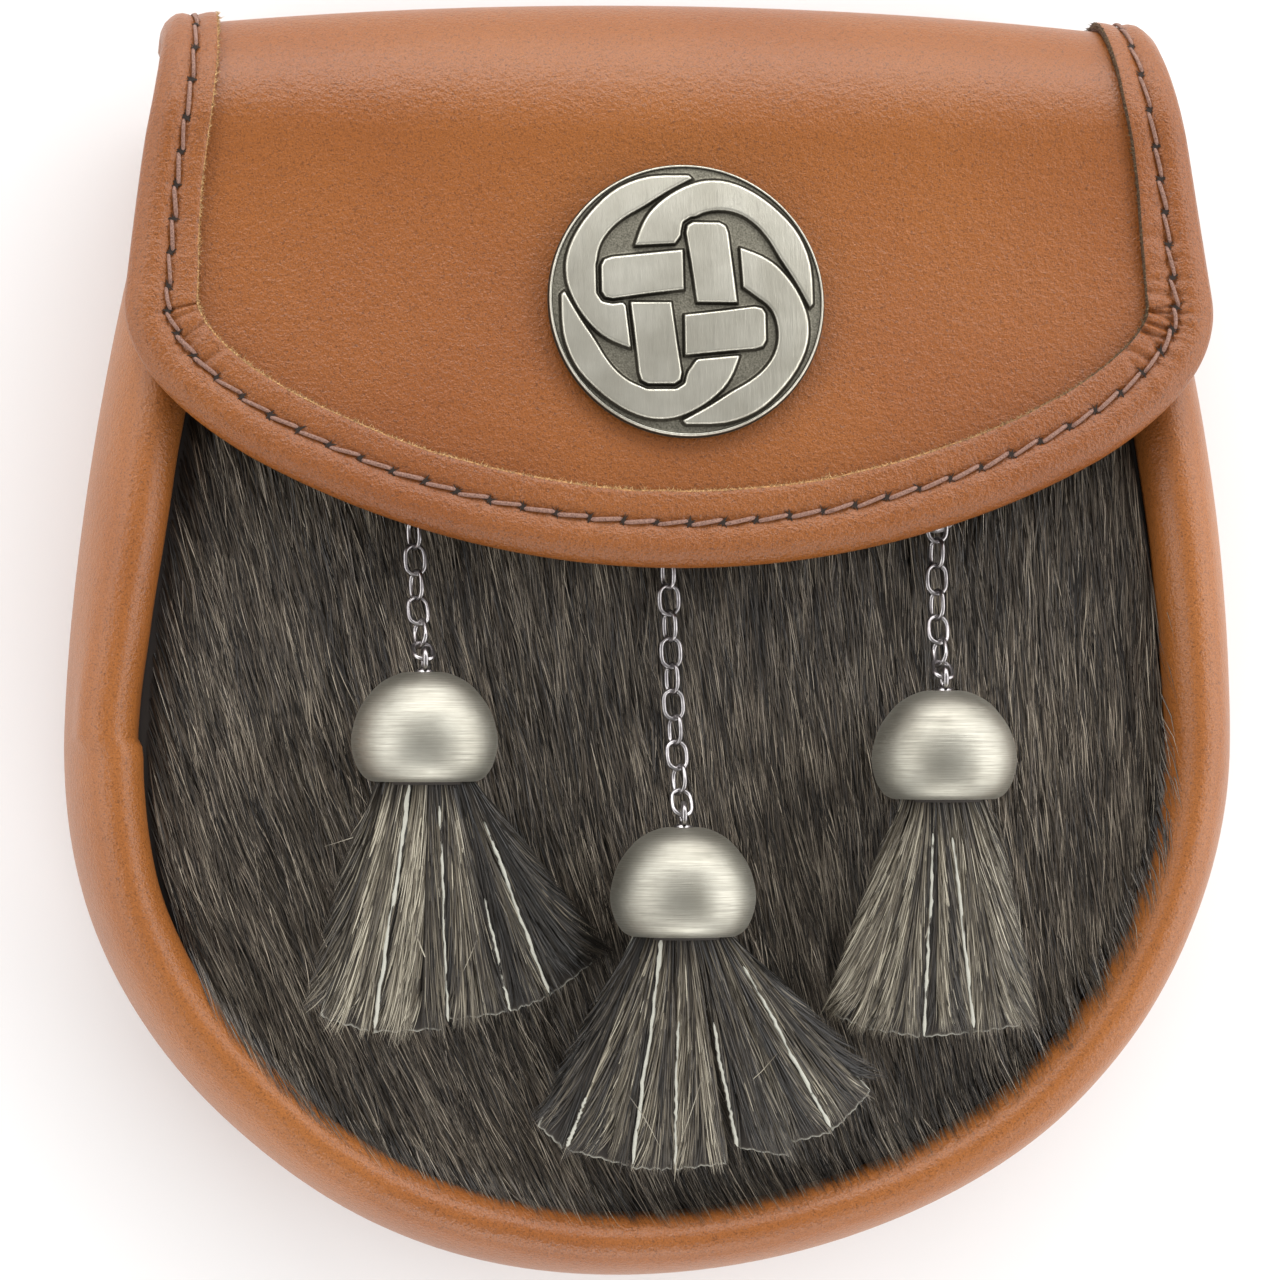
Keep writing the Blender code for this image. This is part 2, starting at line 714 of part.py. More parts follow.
def knot_pad(shape):
    """One raised piece of the knot: an outline lofted from inside the badge to its relief."""
    radius = BADGE_DIAMETER / 2
    rows = len(shape) // 2
    floor = BADGE_WALL / 2
    points = []
    for point in shape:
        points.append((*(point * radius), floor))
        points.append((*(point * radius), badge_top(point.length) + KNOT_RELIEF))
    count = len(shape)
    faces = [(2 * i, 2 * i + 1, (2 * i + 3) % (2 * count), (2 * i + 2) % (2 * count))
             for i in range(count)]
    for i in range(rows - 1):
        a, b, c, d = i, i + 1, count - 2 - i, count - 1 - i
        faces += [(2 * a, 2 * b, 2 * c, 2 * d), (2 * a + 1, 2 * d + 1, 2 * c + 1, 2 * b + 1)]
    return facing_out(mesh_from(points, faces))


def badge(collection):
    radius = BADGE_DIAMETER / 2
    rings = []
    for share, z in ((0.96, 0.0), (1.0, BADGE_WALL / 2), (1.0, badge_top(1.0)),
                     (0.7, badge_top(0.7)), (0.35, badge_top(0.35))):
        angles = (2 * math.pi * i / BADGE_SIDES for i in range(BADGE_SIDES))
        rings.append([(radius * share * math.cos(a), radius * share * math.sin(a), z)
                      for a in angles])
    item = add_object("badge", loft(rings), "pewter", collection)
    pads = [add_object(f"pad_{i}", knot_pad(shape), "pewter", collection)
            for i, shape in enumerate(knot_outlines())]
    fuse(item, pads)
    item.data.materials.clear()
    item.data.materials.append(finish_of("pewter"))
    item.matrix_world = badge_frame()
    return item


def press_stud(collection):
    """The plain stud between the front panel and the flap."""
    lowest = hide_z(BADGE_X, BADGE_Y) + PILE + GAP
    reach = STUD_DIAMETER / 2
    highest = flap_front_z(BADGE_Y + reach) - FLAP_WALL / 2 - GAP
    bpy.ops.mesh.primitive_cylinder_add(
        vertices=STUD_SIDES, radius=reach, depth=highest - lowest,
        location=(BADGE_X, BADGE_Y, (highest + lowest) / 2))
    return adopt("press_stud", "steel", collection)


def adopt(name, finish, collection):
    """Names the primitive just made and moves it to the collection."""
    item = bpy.context.object
    for home in list(item.users_collection):
        home.objects.unlink(item)
    collection.objects.link(item)
    item.name = name
    item.data.name = name
    item.data.materials.clear()
    item.data.materials.append(finish_of(finish))
    return item


# Tassels

def ring_mesh(length, width, wire, sides, frame):
    """A closed wire ring, longer than wide with straight sides, its length along the frame's X."""
    bpy.ops.mesh.primitive_torus_add(
        major_segments=sides, minor_segments=WIRE_SIDES,
        major_radius=width / 2 - wire, minor_radius=wire)
    made = bpy.context.object
    ring = made.data
    bpy.data.objects.remove(made)
    for corner in ring.vertices:
        if abs(corner.co.x) > wire / 10:
            corner.co.x += math.copysign((length - width) / 2, corner.co.x)
    ring.transform(frame)
    ring.shade_smooth()
    return ring


def link_pitch():
    """Links bear on the flats inside their wires, and are fused there."""
    flat = WIRE_RADIUS * math.cos(math.pi / WIRE_SIDES)
    return LINK_LENGTH - 2 * WIRE_RADIUS - 2 * flat + LINK_FUSE


def mouth_of(tassel):
    """The middle of the cap's mouth, seen from the front."""
    return Vector((tassel["mouth_x"] * POUCH_WIDTH / 2, tassel["mouth_y"] * POUCH_LENGTH / 2))


def cap_axis_z():
    """Height of the caps' axes: each lies with its widest round on the fur."""
    return seam_z(WIDEST_Y) + PANEL_DOME + PILE + GAP + CAP_DIAMETER / 2


def chain_floor_z():
    """Height of the chains' middle line where they lie on the fur."""
    return seam_z(WIDEST_Y) + PANEL_DOME + PILE + GAP + LINK_WIDTH / 2


def cap_ring_y(tassel):
    """Middle of the wire ring that stands out of the top of the cap."""
    return mouth_of(tassel).y + CAP_HEIGHT + RING_RADIUS


def chain_line(tassel):
    """Ends of the links, from the cap's ring up to the eye, on a line that sinks onto the fur."""
    lowest, highest = chain_floor_z(), cap_axis_z()
    start_y = cap_ring_y(tassel) + RING_RADIUS - RING_WIRE_RADIUS - GAP - WIRE_RADIUS * 2
    places = [Vector((mouth_of(tassel).x, start_y, highest))]
    for i in range(1, tassel["links"] + 1):
        share = 1 - i / tassel["links"]
        z = lowest + (highest - lowest) * share ** CHAIN_RISE_POWER
        aside = tassel["lean"] * CAP_DIAMETER / tassel["links"]
        drop = places[-1].z - z
        y = places[-1].y + math.sqrt(link_pitch() ** 2 - drop ** 2 - aside ** 2)
        places.append(Vector((places[-1].x + aside, y, z)))
    return places


def chain(tassel, collection):
    """Links that pass through each other, turned a quarter round by turns and fused where they bear."""
    places = chain_line(tassel)
    groups = ([], [])
    for i, (low, high) in enumerate(zip(places, places[1:])):
        along = (high - low).normalized()
        flat = along.cross(Vector((0, 0, 1))).normalized()
        wide = along.cross(flat) if i % 2 else flat
        frame = Matrix((along, wide, along.cross(wide))).transposed().to_4x4()
        frame.translation = (low + high) / 2
        groups[i % 2].append(ring_mesh(LINK_LENGTH, LINK_WIDTH, WIRE_RADIUS, LINK_SIDES, frame))
    name = f"chain_{tassel['side']}"
    item = add_object(name, joined(groups[0]), "steel", collection)
    other = add_object("other_links", joined(groups[1]), "steel", collection)
    return fuse(item, [other])


def joined(meshes):
    """One mesh that holds several."""
    editable = bmesh.new()
    for mesh in meshes:
        editable.from_mesh(mesh)
    made = bpy.data.meshes.new("joined")
    editable.to_mesh(made)
    editable.free()
    made.shade_smooth()
    return made


def chain_eye(tassel, collection):
    """The eye under the flap: a ring across the first link, standing on a plate on the hide."""
    end = chain_line(tassel)[-1]
    plate_z = hide_z(end.x, end.y + EYE_RADIUS) + PILE + GAP
    centre = Vector((end.x, end.y - 2 * WIRE_RADIUS - GAP - EYE_WIRE_RADIUS + EYE_RADIUS, 0))
    centre.z = plate_z + EYE_PLATE / 2 + EYE_RADIUS
    name = f"chain_eye_{tassel['side']}"
    bpy.ops.mesh.primitive_cylinder_add(
        vertices=PIN_SIDES, radius=EYE_PLATE_RADIUS, depth=EYE_PLATE,
        location=(centre.x, centre.y, plate_z + EYE_PLATE / 2))
    plate = adopt(name, "steel", collection)
    frame = Matrix.Translation(centre) @ Matrix.Rotation(math.pi / 2, 4, "Y")
    across = 2 * (EYE_RADIUS + EYE_WIRE_RADIUS)
    ring = add_object("ring", ring_mesh(across, across, EYE_WIRE_RADIUS, EYE_SIDES, frame),
                      "steel", collection)
    return fuse(plate, [ring])


def cap_profile():
    """The bell's closed half section as radius and height, down its outside and up its inside."""
    radius = CAP_DIAMETER / 2
    outside = [(row["radius"] * radius, row["height"] * CAP_HEIGHT) for row in CAP_PROFILE]
    inside = [(max(CAP_HOLE_RADIUS, r - CAP_WALL), min(h, CAP_HEIGHT - CAP_WALL))
              for r, h in outside[1:]]
    top = [(CAP_HOLE_RADIUS, CAP_HEIGHT)]
    return top + outside[::-1] + [(outside[0][0] - CAP_WALL, 0.0)] + inside[1:]\
        + [(CAP_HOLE_RADIUS, CAP_HEIGHT - CAP_WALL)]


def bell_cap(tassel, collection):
    profile = cap_profile()
    mesh = bpy.data.meshes.new("profile")
    edges = [(i, (i + 1) % len(profile)) for i in range(len(profile))]
    mesh.from_pydata([(r, 0, h) for r, h in profile], edges, [])
    item = add_object(f"bell_cap_{tassel['side']}", mesh, "pewter", collection)
    turn = item.modifiers.new("turn", "SCREW")
    turn.steps = turn.render_steps = CAP_SIDES
    turn.use_merge_vertices = True
    turn.merge_threshold = 0.00001
    turn.use_smooth_shade = True
    item.location = (*mouth_of(tassel), cap_axis_z())
    item.rotation_euler.x = -math.pi / 2
    return item


def strip_mesh(tassel, index, centre):
    """One strip of the fringe: it leaves the head, spreads in the fan and droops onto the fur."""
    count = tassel["strips"]
    share = index / (count - 1)
    angle = math.radians(tassel["fan_from"] + (tassel["fan_to"] - tassel["fan_from"]) * share)
    spread = math.radians(abs(tassel["fan_to"] - tassel["fan_from"])) / count
    layer = STRIP_THICKNESS * STRIP_LAYER * (1 if index % 2 else -1)
    length = tassel["length"] * FRINGE_LENGTH
    highest = CAP_DIAMETER / 2 - STRIP_THICKNESS * STRIP_LIFT
    start_x = HEAD_RADIUS * STRIP_START * (2 * share - 1)
    down = Vector((math.sin(angle), -math.cos(angle), 0))
    side = Vector((math.cos(angle), math.sin(angle), 0))
    rings = []
    for step in range(STRIP_STEPS + 1):
        t = step / STRIP_STEPS
        run = -STRIP_SINK + (length + STRIP_SINK) * t
        swell = start_x * (1 - t)
        half = 2 * HEAD_RADIUS * HEAD_HELD / count + length * spread * STRIP_SPREAD * t
        place = centre + Vector((swell, 0, 0)) + down * run
        place.z += layer * (1 - STRIP_LEVEL * t) - highest * t ** STRIP_DROOP
        thick = STRIP_THICKNESS / 2
        rings.append([place - side * half - Vector((0, 0, thick)),
                      place + side * half - Vector((0, 0, thick)),
                      place + side * half + Vector((0, 0, thick)),
                      place - side * half + Vector((0, 0, thick))])
    points = [p for ring in rings for p in ring]
    faces = grid_faces(len(rings), 4, around=True) + [(0, 1, 2, 3)]
    faces.append(tuple(range(len(points) - 4, len(points))))
    return facing_out(mesh_from(points, faces))


def fringe(tassel, collection):
    """The head inside the cap and the strips of furred hide that leave it."""
    centre = Vector((*mouth_of(tassel), cap_axis_z()))
    name = f"fringe_{tassel['side']}"
    bpy.ops.mesh.primitive_cylinder_add(
        vertices=HEAD_SIDES, radius=HEAD_RADIUS, depth=HEAD_LENGTH, rotation=(math.pi / 2, 0, 0),
        location=centre + Vector((0, HEAD_LENGTH / 2 - STRIP_SINK / 2, 0)))
    head = adopt(name, "fringe_fur", collection)
    parts = [add_object(f"strip_{i}", strip_mesh(tassel, i, centre), "fringe_fur", collection)
             for i in range(tassel["strips"])]
    return fuse(head, parts)


def tassel_pin(tassel, collection):
    """The pin through the cap's hole: a ring for the chain, a shank and a washer under the cap's top."""
    centre = Vector((*mouth_of(tassel), cap_axis_z()))
    washer_top = CAP_HEIGHT - CAP_WALL - GAP
    washer = turned_along_y(f"tassel_pin_{tassel['side']}", WASHER_RADIUS, WASHER_THICKNESS,
                            centre + Vector((0, washer_top - WASHER_THICKNESS / 2, 0)), collection)
    shank_top = CAP_HEIGHT + RING_WIRE_RADIUS
    shank_length = shank_top - washer_top + WASHER_THICKNESS / 2
    shank = turned_along_y("shank", CAP_HOLE_RADIUS - GAP, shank_length,
                           centre + Vector((0, shank_top - shank_length / 2, 0)), collection)
    ring_centre = Vector((centre.x, cap_ring_y(tassel), centre.z))
    frame = Matrix.Translation(ring_centre) @ Matrix.Rotation(math.pi / 2, 4, "Y")
    across = 2 * (RING_RADIUS + RING_WIRE_RADIUS)
    ring = add_object("ring", ring_mesh(across, across, RING_WIRE_RADIUS, EYE_SIDES, frame),
                      "steel", collection)
    return fuse(washer, [shank, ring])


def turned_along_y(name, radius, length, centre, collection):
    """A plain steel cylinder with its axis along Y."""
    bpy.ops.mesh.primitive_cylinder_add(
        vertices=PIN_SIDES, radius=radius, depth=length, rotation=(math.pi / 2, 0, 0),
        location=centre)
    return adopt(name, "steel", collection)


def main():
    clear_scene()
    collection = new_collection("sporran")
    for build in (back_panel, gusset, fur_panel, flap, flap_binding, badge, press_stud):
        build(collection)
    for tassel in TASSELS:
        for build in (chain_eye, chain, tassel_pin, bell_cap, fringe):
            build(tassel, collection)


main()
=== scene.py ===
"""Looks of the sporran: leather, haired hide, pewter and steel, in the CAD model's frame."""

import math

import bmesh
import bpy
import numpy as np
from mathutils import Matrix, Vector


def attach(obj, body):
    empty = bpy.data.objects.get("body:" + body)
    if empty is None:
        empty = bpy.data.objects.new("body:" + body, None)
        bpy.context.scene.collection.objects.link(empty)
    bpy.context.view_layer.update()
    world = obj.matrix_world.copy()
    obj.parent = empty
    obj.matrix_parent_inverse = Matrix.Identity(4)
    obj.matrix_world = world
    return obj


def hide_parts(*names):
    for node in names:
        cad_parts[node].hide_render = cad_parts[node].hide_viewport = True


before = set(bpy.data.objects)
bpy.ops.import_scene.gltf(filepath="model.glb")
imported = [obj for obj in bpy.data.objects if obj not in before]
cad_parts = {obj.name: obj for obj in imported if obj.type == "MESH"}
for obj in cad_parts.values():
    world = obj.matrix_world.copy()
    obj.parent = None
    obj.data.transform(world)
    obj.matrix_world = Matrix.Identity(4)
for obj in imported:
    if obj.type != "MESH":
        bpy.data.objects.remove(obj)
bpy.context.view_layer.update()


def table(columns, rows):
    """Rows of values, each value under its column's name."""
    return [dict(zip(columns.split(), row)) for row in rows]


# Sizes that the CAD model gives
GAP = 0.0003
POUCH_WIDTH = 0.1636
POUCH_LENGTH = 0.178
WIDEST_Y = -0.0150
MOUTH_Y = 0.0785
MOUTH_WIDTH = 0.134
BELLY_DEPTH = 0.036
MOUTH_DEPTH = 0.028
TAPER_START_Y = 0.010
BOTTOM_FULLNESS = 2.03
SIDE_TAPER = 1.75
SWAY_TOP = 0.0014
SWAY_BELOW = 0.0006
SWAY_BELOW_RUN = 0.030
SWAY_TIP = 0.0036
SWAY_TIP_Y = -0.066
GUSSET_WALL = 0.0018
ROLL_WIDTH_TOP = 0.0118
ROLL_WIDTH_BOTTOM = 0.0094
MOUTH_GATHER = 0.38
GUSSET_SECTION = table("inward height", (
    (1.00, 0.760), (0.96, 0.900), (0.79, 0.978), (0.56, 1.000), (0.29, 0.945), (0.09, 0.780),
    (0.00, 0.540), (0.04, 0.270), (0.17, 0.080), (0.36, 0.000), (0.80, 0.000),
))
BACK_WALL = 0.0024
HIDE_WALL = 0.0016
PANEL_TOP_Y = 0.066
PANEL_TUCK = 0.0020
PANEL_DOME = 0.0012
PANEL_CENTRE_Y = -0.010
PILE = 0.0020
FLAP_WALL = 0.0024
FLAP_WIDTH = 0.1514
FLAP_TOP_WIDTH = 0.1450
FLAP_BACK_WIDTH = 0.1395
FLAP_WIDEST_Y = 0.047
FLAP_BOTTOM_Y = 0.0095
FLAP_BOTTOM_RADIUS = 0.121
FLAP_CORNER = 0.0160
FLAP_FLARE = 0.0014
FLAP_SPREAD = 0.9
FLAP_CROWN = 0.0015
BEND_Y = 0.070
TOP_ARCH = 0.0044
FLAP_TOP_Y = 0.0886
FLAP_X = 0.0014
TAIL_WIDTH = 0.112
TAIL_LENGTH = 0.014
TAIL_TURN = math.radians(-50)
BINDING_WALL = 0.0012
BINDING_TURN = math.radians(-30)
BINDING_TAPER = table("y share", (
    (0.010, 0.93), (0.047, 0.86), (0.063, 0.73), (0.086, 0.65),
))
FLAP_CLEARANCE = 0.0007
BADGE_DIAMETER = 0.0384
BADGE_X = 0.0025
BADGE_Y = 0.0461
BADGE_WALL = 0.0014
BADGE_DOME = 0.0011
KNOT_RELIEF = 0.0008
WIRE_RADIUS = 0.000325
LINK_LENGTH = 0.0047
LINK_WIDTH = 0.0034
LINK_FUSE = 0.00012
WIRE_SIDES = 5
CHAIN_RISE_POWER = 3.0
CAP_DIAMETER = 0.0200
CAP_HEIGHT = 0.0149
CAP_WALL = 0.0010
CAP_HOLE_RADIUS = 0.0016
CAP_PROFILE = table("radius height", (
    (0.72, 0.00), (0.84, 0.05), (0.95, 0.18), (1.00, 0.38), (0.91, 0.63), (0.72, 0.82),
    (0.55, 0.92),
))
RING_RADIUS = 0.0016
RING_WIRE_RADIUS = 0.0004
EYE_RADIUS = 0.0021
EYE_WIRE_RADIUS = 0.0004
EYE_PLATE_RADIUS = 0.0034
EYE_PLATE = 0.0007
WASHER_RADIUS = 0.0030
WASHER_THICKNESS = 0.0008
HEAD_RADIUS = 0.0056
TASSELS = table("side mouth_x mouth_y links lean length", (
    ("left", -0.0339, -0.0196, 7, -0.0008, 0.0335),
    ("middle", 0.0017, -0.0409, 11, -0.0011, 0.0315), ("right", 0.0380, -0.0222, 7, 0.0005, 0.0325),
))


# Meshes

def quad_mesh(name, points, quads):
    """A smooth-shaded mesh from an array or a grid of points and an array of quads."""
    points = np.ascontiguousarray(points, dtype=np.float32).reshape(-1, 3)
    quads = np.ascontiguousarray(quads, dtype=np.int32)
    mesh = bpy.data.meshes.new(name)
    mesh.vertices.add(len(points))
    mesh.vertices.foreach_set("co", points.ravel())
    mesh.loops.add(quads.size)
    mesh.loops.foreach_set("vertex_index", quads.ravel())
    mesh.polygons.add(len(quads))
    mesh.polygons.foreach_set("loop_start", np.arange(0, quads.size, 4, dtype=np.int32))
    mesh.update(calc_edges=True)
    mesh.shade_smooth()
    return mesh


def grid_quads(rows, columns, around=False):
    """Quads of a grid of points. Around joins its last column to its first."""
    steps = columns if around else columns - 1
    row, step = np.meshgrid(np.arange(rows - 1), np.arange(steps), indexing="ij")
    after = (step + 1) % columns
    quads = np.stack([row * columns + step, row * columns + after,
                      (row + 1) * columns + after, (row + 1) * columns + step], axis=-1)
    return quads.reshape(-1, 4)


def turns(count):
    """Angles once round, in even steps."""
    return np.linspace(0, math.tau, count, endpoint=False)


def lathed(profile, sides):
    """Rings of a half section, given as radius and height, turned round Z."""
    turn = turns(sides)
    radius, height = profile[:, :1], profile[:, 1:]
    return np.stack([radius * np.cos(turn), radius * np.sin(turn), height + 0 * turn], axis=-1)


def lathed_quads(rows, sides):
    """Quads of a closed half section turned round: its last ring joins its first."""
    return grid_quads(rows + 1, sides, around=True) % (rows * sides)


def joined(parts):
    """Points and quads of several parts as those of one."""
    points, quads, first = [], [], 0
    for part_points, part_quads in parts:
        points.append(part_points.reshape(-1, 3))
        quads.append(part_quads + first)
        first += len(points[-1])
    return np.concatenate(points), np.concatenate(quads)


def fill_ends(mesh, columns):
    """Closes the first and the last ring of a mesh of rings."""
    editable = bmesh.new()
    editable.from_mesh(mesh)
    editable.verts.ensure_lookup_table()
    for first in (0, len(editable.verts) - columns):
        editable.faces.new([editable.verts[first + k] for k in range(columns)])
    editable.to_mesh(mesh)
    editable.free()


def thicken(piece, thickness, offset):
    """Gives a sheet its wall, on the side that offset says."""
    wall = piece.modifiers.new("wall", "SOLIDIFY")
    wall.thickness = thickness
    wall.offset = offset
    wall.use_even_offset = True


def add_piece(name, mesh, materials, replaced=None):
    """An object that rides on the pouch, with its materials; a CAD part that it replaces is hidden.
    """
    piece = bpy.data.objects.new(name, mesh)
    bpy.context.scene.collection.objects.link(piece)
    for material in materials:
        mesh.materials.append(material)
    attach(piece, "root")
    if replaced:
        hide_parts(replaced)
    return piece


def face_normals_out(mesh):
    editable = bmesh.new()
    editable.from_mesh(mesh)
    bmesh.ops.recalc_face_normals(editable, faces=editable.faces)
    editable.to_mesh(mesh)
    editable.free()
    return mesh


def paint(mesh, name, values):
    """A shade from 0 to 1 kept on each point of the mesh."""
    layer = mesh.color_attributes.new(name, "FLOAT_COLOR", "POINT")
    colours = np.ones((len(values), 4), dtype=np.float32)
    colours[:, :3] = np.asarray(values, dtype=np.float32)[:, None]
    layer.data.foreach_set("color", colours.ravel())


def smoothstep(share):
    share = np.clip(share, 0.0, 1.0)
    return share * share * (3 - 2 * share)


def spline(rows, steps):
    """The smooth curve through rows of numbers, with this many steps between two rows."""
    rows = np.asarray(rows, dtype=float)
    padded = np.concatenate([rows[:1], rows, rows[-1:]])
    places = np.linspace(0, len(rows) - 1, (len(rows) - 1) * steps + 1)
    row = np.minimum(places.astype(int), len(rows) - 2)
    t = (places - row)[:, None]
    before, start, end, after = (padded[row + k] for k in range(4))
    return (2 * start + (end - before) * t + (2 * before - 5 * start + 4 * end - after) * t ** 2
            + (3 * start - before - 3 * end + after) * t ** 3) / 2


def waves(places, seed, pitch):
    """A smooth wandering value of about -1 to 1 along places in metres."""
    draw = np.random.default_rng(seed)
    total = np.zeros_like(places)
    for k in range(1, 5):
        total += np.sin(places * math.tau * k / pitch + draw.uniform(0, math.tau)) / k
    return total / 2


# The pouch's outline and depth, as in the CAD model

def depth_at(y):
    return BELLY_DEPTH - (BELLY_DEPTH - MOUTH_DEPTH) * smoothstep(
        (y - TAPER_START_Y) / (BEND_Y - TAPER_START_Y))


def above_back(y, share):
    floor = BACK_WALL + GAP
    return floor + (depth_at(y) - floor) * share


def roll_width_at(y):
    share = (y + POUCH_LENGTH / 2) / (MOUTH_Y + POUCH_LENGTH / 2)
    return ROLL_WIDTH_BOTTOM + (ROLL_WIDTH_TOP - ROLL_WIDTH_BOTTOM) * share


def half_width_at(y):
    share = np.maximum(0.0, y - WIDEST_Y) / (MOUTH_Y - WIDEST_Y)
    return POUCH_WIDTH / 2 - (POUCH_WIDTH - MOUTH_WIDTH) / 2 * share ** SIDE_TAPER


def sway_at(y):
    """How far the pouch's middle line stands to the right."""
    above = SWAY_TOP * (y - WIDEST_Y) / (MOUTH_Y - WIDEST_Y)
    tip = np.maximum(0.0, (SWAY_TIP_Y - y) / (SWAY_TIP_Y + POUCH_LENGTH / 2))
    below = -SWAY_BELOW * smoothstep((WIDEST_Y - y) / SWAY_BELOW_RUN) - SWAY_TIP * tip ** 2
    return np.where(y > WIDEST_Y, above, below)


def outline(top_y, side_stations, bottom_stations):
    """Points of the U-shaped outline and their inward normals, from the left top round."""
    y = np.linspace(top_y, WIDEST_Y, side_stations, endpoint=False)
    side = np.stack([-half_width_at(y), y], axis=1)
    angle = np.linspace(-math.pi / 2, math.pi / 2, bottom_stations + 1)
    across, down = np.sin(angle), np.maximum(0.0, np.cos(angle))
    power = 2 / BOTTOM_FULLNESS
    below = WIDEST_Y + POUCH_LENGTH / 2
    bottom = np.stack([POUCH_WIDTH / 2 * np.sign(across) * np.abs(across) ** power,
                       WIDEST_Y - below * down ** power], axis=1)
    points = np.concatenate([side, bottom, side[::-1] * (-1, 1)])
    points[:, 0] += sway_at(points[:, 1])
    tangent = np.gradient(points, axis=0)
    normal = np.stack([-tangent[:, 1], tangent[:, 0]], axis=1)
    return points, normal / np.linalg.norm(normal, axis=1, keepdims=True)


def seam_z(y):
    return above_back(y, GUSSET_SECTION[0]["height"]) - GAP


def hide_z(x, y):
    across = x / (POUCH_WIDTH / 2 - ROLL_WIDTH_TOP - PANEL_TUCK)
    along = (y - PANEL_CENTRE_Y) / (POUCH_LENGTH / 2 + PANEL_CENTRE_Y - ROLL_WIDTH_TOP - PANEL_TUCK)
    return seam_z(y) + PANEL_DOME * np.maximum(0.0, 1 - across ** 2 - along ** 2)


def flap_front_z(y):
    return depth_at(y) + FLAP_CLEARANCE + BINDING_WALL + GAP + FLAP_WALL / 2


def crown_at(x):
    return FLAP_CROWN * (1 - (x / (FLAP_WIDTH / 2)) ** 2)


TAIL_Z = BACK_WALL + GAP + FLAP_WALL / 2
BEND_CENTRE_Z = (TAIL_Z + flap_front_z(BEND_Y)) / 2
BEND_HALF_DEPTH = (flap_front_z(BEND_Y) - TAIL_Z) / 2
BEND_REACH = FLAP_TOP_Y - FLAP_WALL / 2 - BEND_Y
BINDING_REACH = GAP + BINDING_WALL


# Materials

def new_material(name, colour, roughness, metallic=0.0):
    """A material and its Principled shader."""
    material = bpy.data.materials.new(name)
    material.use_nodes = True
    shader = material.node_tree.nodes["Principled BSDF"]
    shader.inputs["Base Color"].default_value = (*colour, 1.0)
    shader.inputs["Roughness"].default_value = roughness
    shader.inputs["Metallic"].default_value = metallic
    return material, shader


def node(material, kind, inputs=(), **settings):
    made = material.node_tree.nodes.new(kind)
    for key, value in settings.items():
        setattr(made, key, value)
    for key, value in inputs:
        if isinstance(value, bpy.types.NodeSocket):
            material.node_tree.links.new(value, made.inputs[key])
        else:
            made.inputs[key].default_value = value
    return made


def place_on(material, scale=(1, 1, 1)):
    """The object's own coordinates, in metres, stretched by scale."""
    place = node(material, "ShaderNodeTexCoord").outputs["Object"]
    made = node(material, "ShaderNodeMapping", (("Vector", place), ("Scale", scale)))
    return made.outputs["Vector"]


def noise(material, scale, detail=2.0, stretch=(1, 1, 1), roughness=0.5):
    made = node(material, "ShaderNodeTexNoise", (
        ("Vector", place_on(material, stretch)), ("Scale", scale), ("Detail", detail),
        ("Roughness", roughness)))
    return made.outputs["Fac"]


def ramp(material, value, stops):
    """Colours or greys along a value: stops are place and colour."""
    made = node(material, "ShaderNodeValToRGB", (("Fac", value),))
    while len(made.color_ramp.elements) < len(stops):
        made.color_ramp.elements.new(0.5)
    for element, (place, colour) in zip(made.color_ramp.elements, stops):
        element.position = place
        element.color = (*colour, 1.0)
    return made.outputs["Color"]


def mix(material, share, one, other, blend="MIX"):
    """Mixes two colours. One and other are sockets or colours."""
    made = node(material, "ShaderNodeMix", data_type="RGBA", blend_type=blend)
    for key, value in ((0, share), (6, one), (7, other)):
        if isinstance(value, bpy.types.NodeSocket):
            material.node_tree.links.new(value, made.inputs[key])
        elif key:
            made.inputs[key].default_value = (*value, 1.0)
        else:
            made.inputs[key].default_value = value
    return made.outputs[2]


def link(material, value, shader, key):
    material.node_tree.links.new(value, shader.inputs[key])


def bump(material, shader, height, distance, below=None):
    made = node(material, "ShaderNodeBump", (
        ("Height", height), ("Distance", distance), ("Strength", 1.0)))
    if below:
        material.node_tree.links.new(below, made.inputs["Normal"])
    link(material, made.outputs["Normal"], shader, "Normal")
    return made.outputs["Normal"]


# Colours of the leathers and of their cut edges
LEATHER = (0.250, 0.078, 0.018)
LEATHER_DARK = (0.220, 0.063, 0.0095)
LEATHER_PALE = (0.258, 0.081, 0.0125)
ROLL_DARK = (0.248, 0.076, 0.0135)
ROLL_PALE = (0.318, 0.108, 0.0225)
RAW_EDGE = (0.47, 0.24, 0.085)
EDGE_FIBRE = (0.66, 0.42, 0.18)
# Painted shade: the share of its colour that the cut edge keeps at the pouch's right side.
PAINTED_SHADE_RIGHT = 0.20
LEATHER_ROUGHNESS = 0.36
LEATHER_GRAIN = 0.00006
BINDING_GRAIN = 0.00010


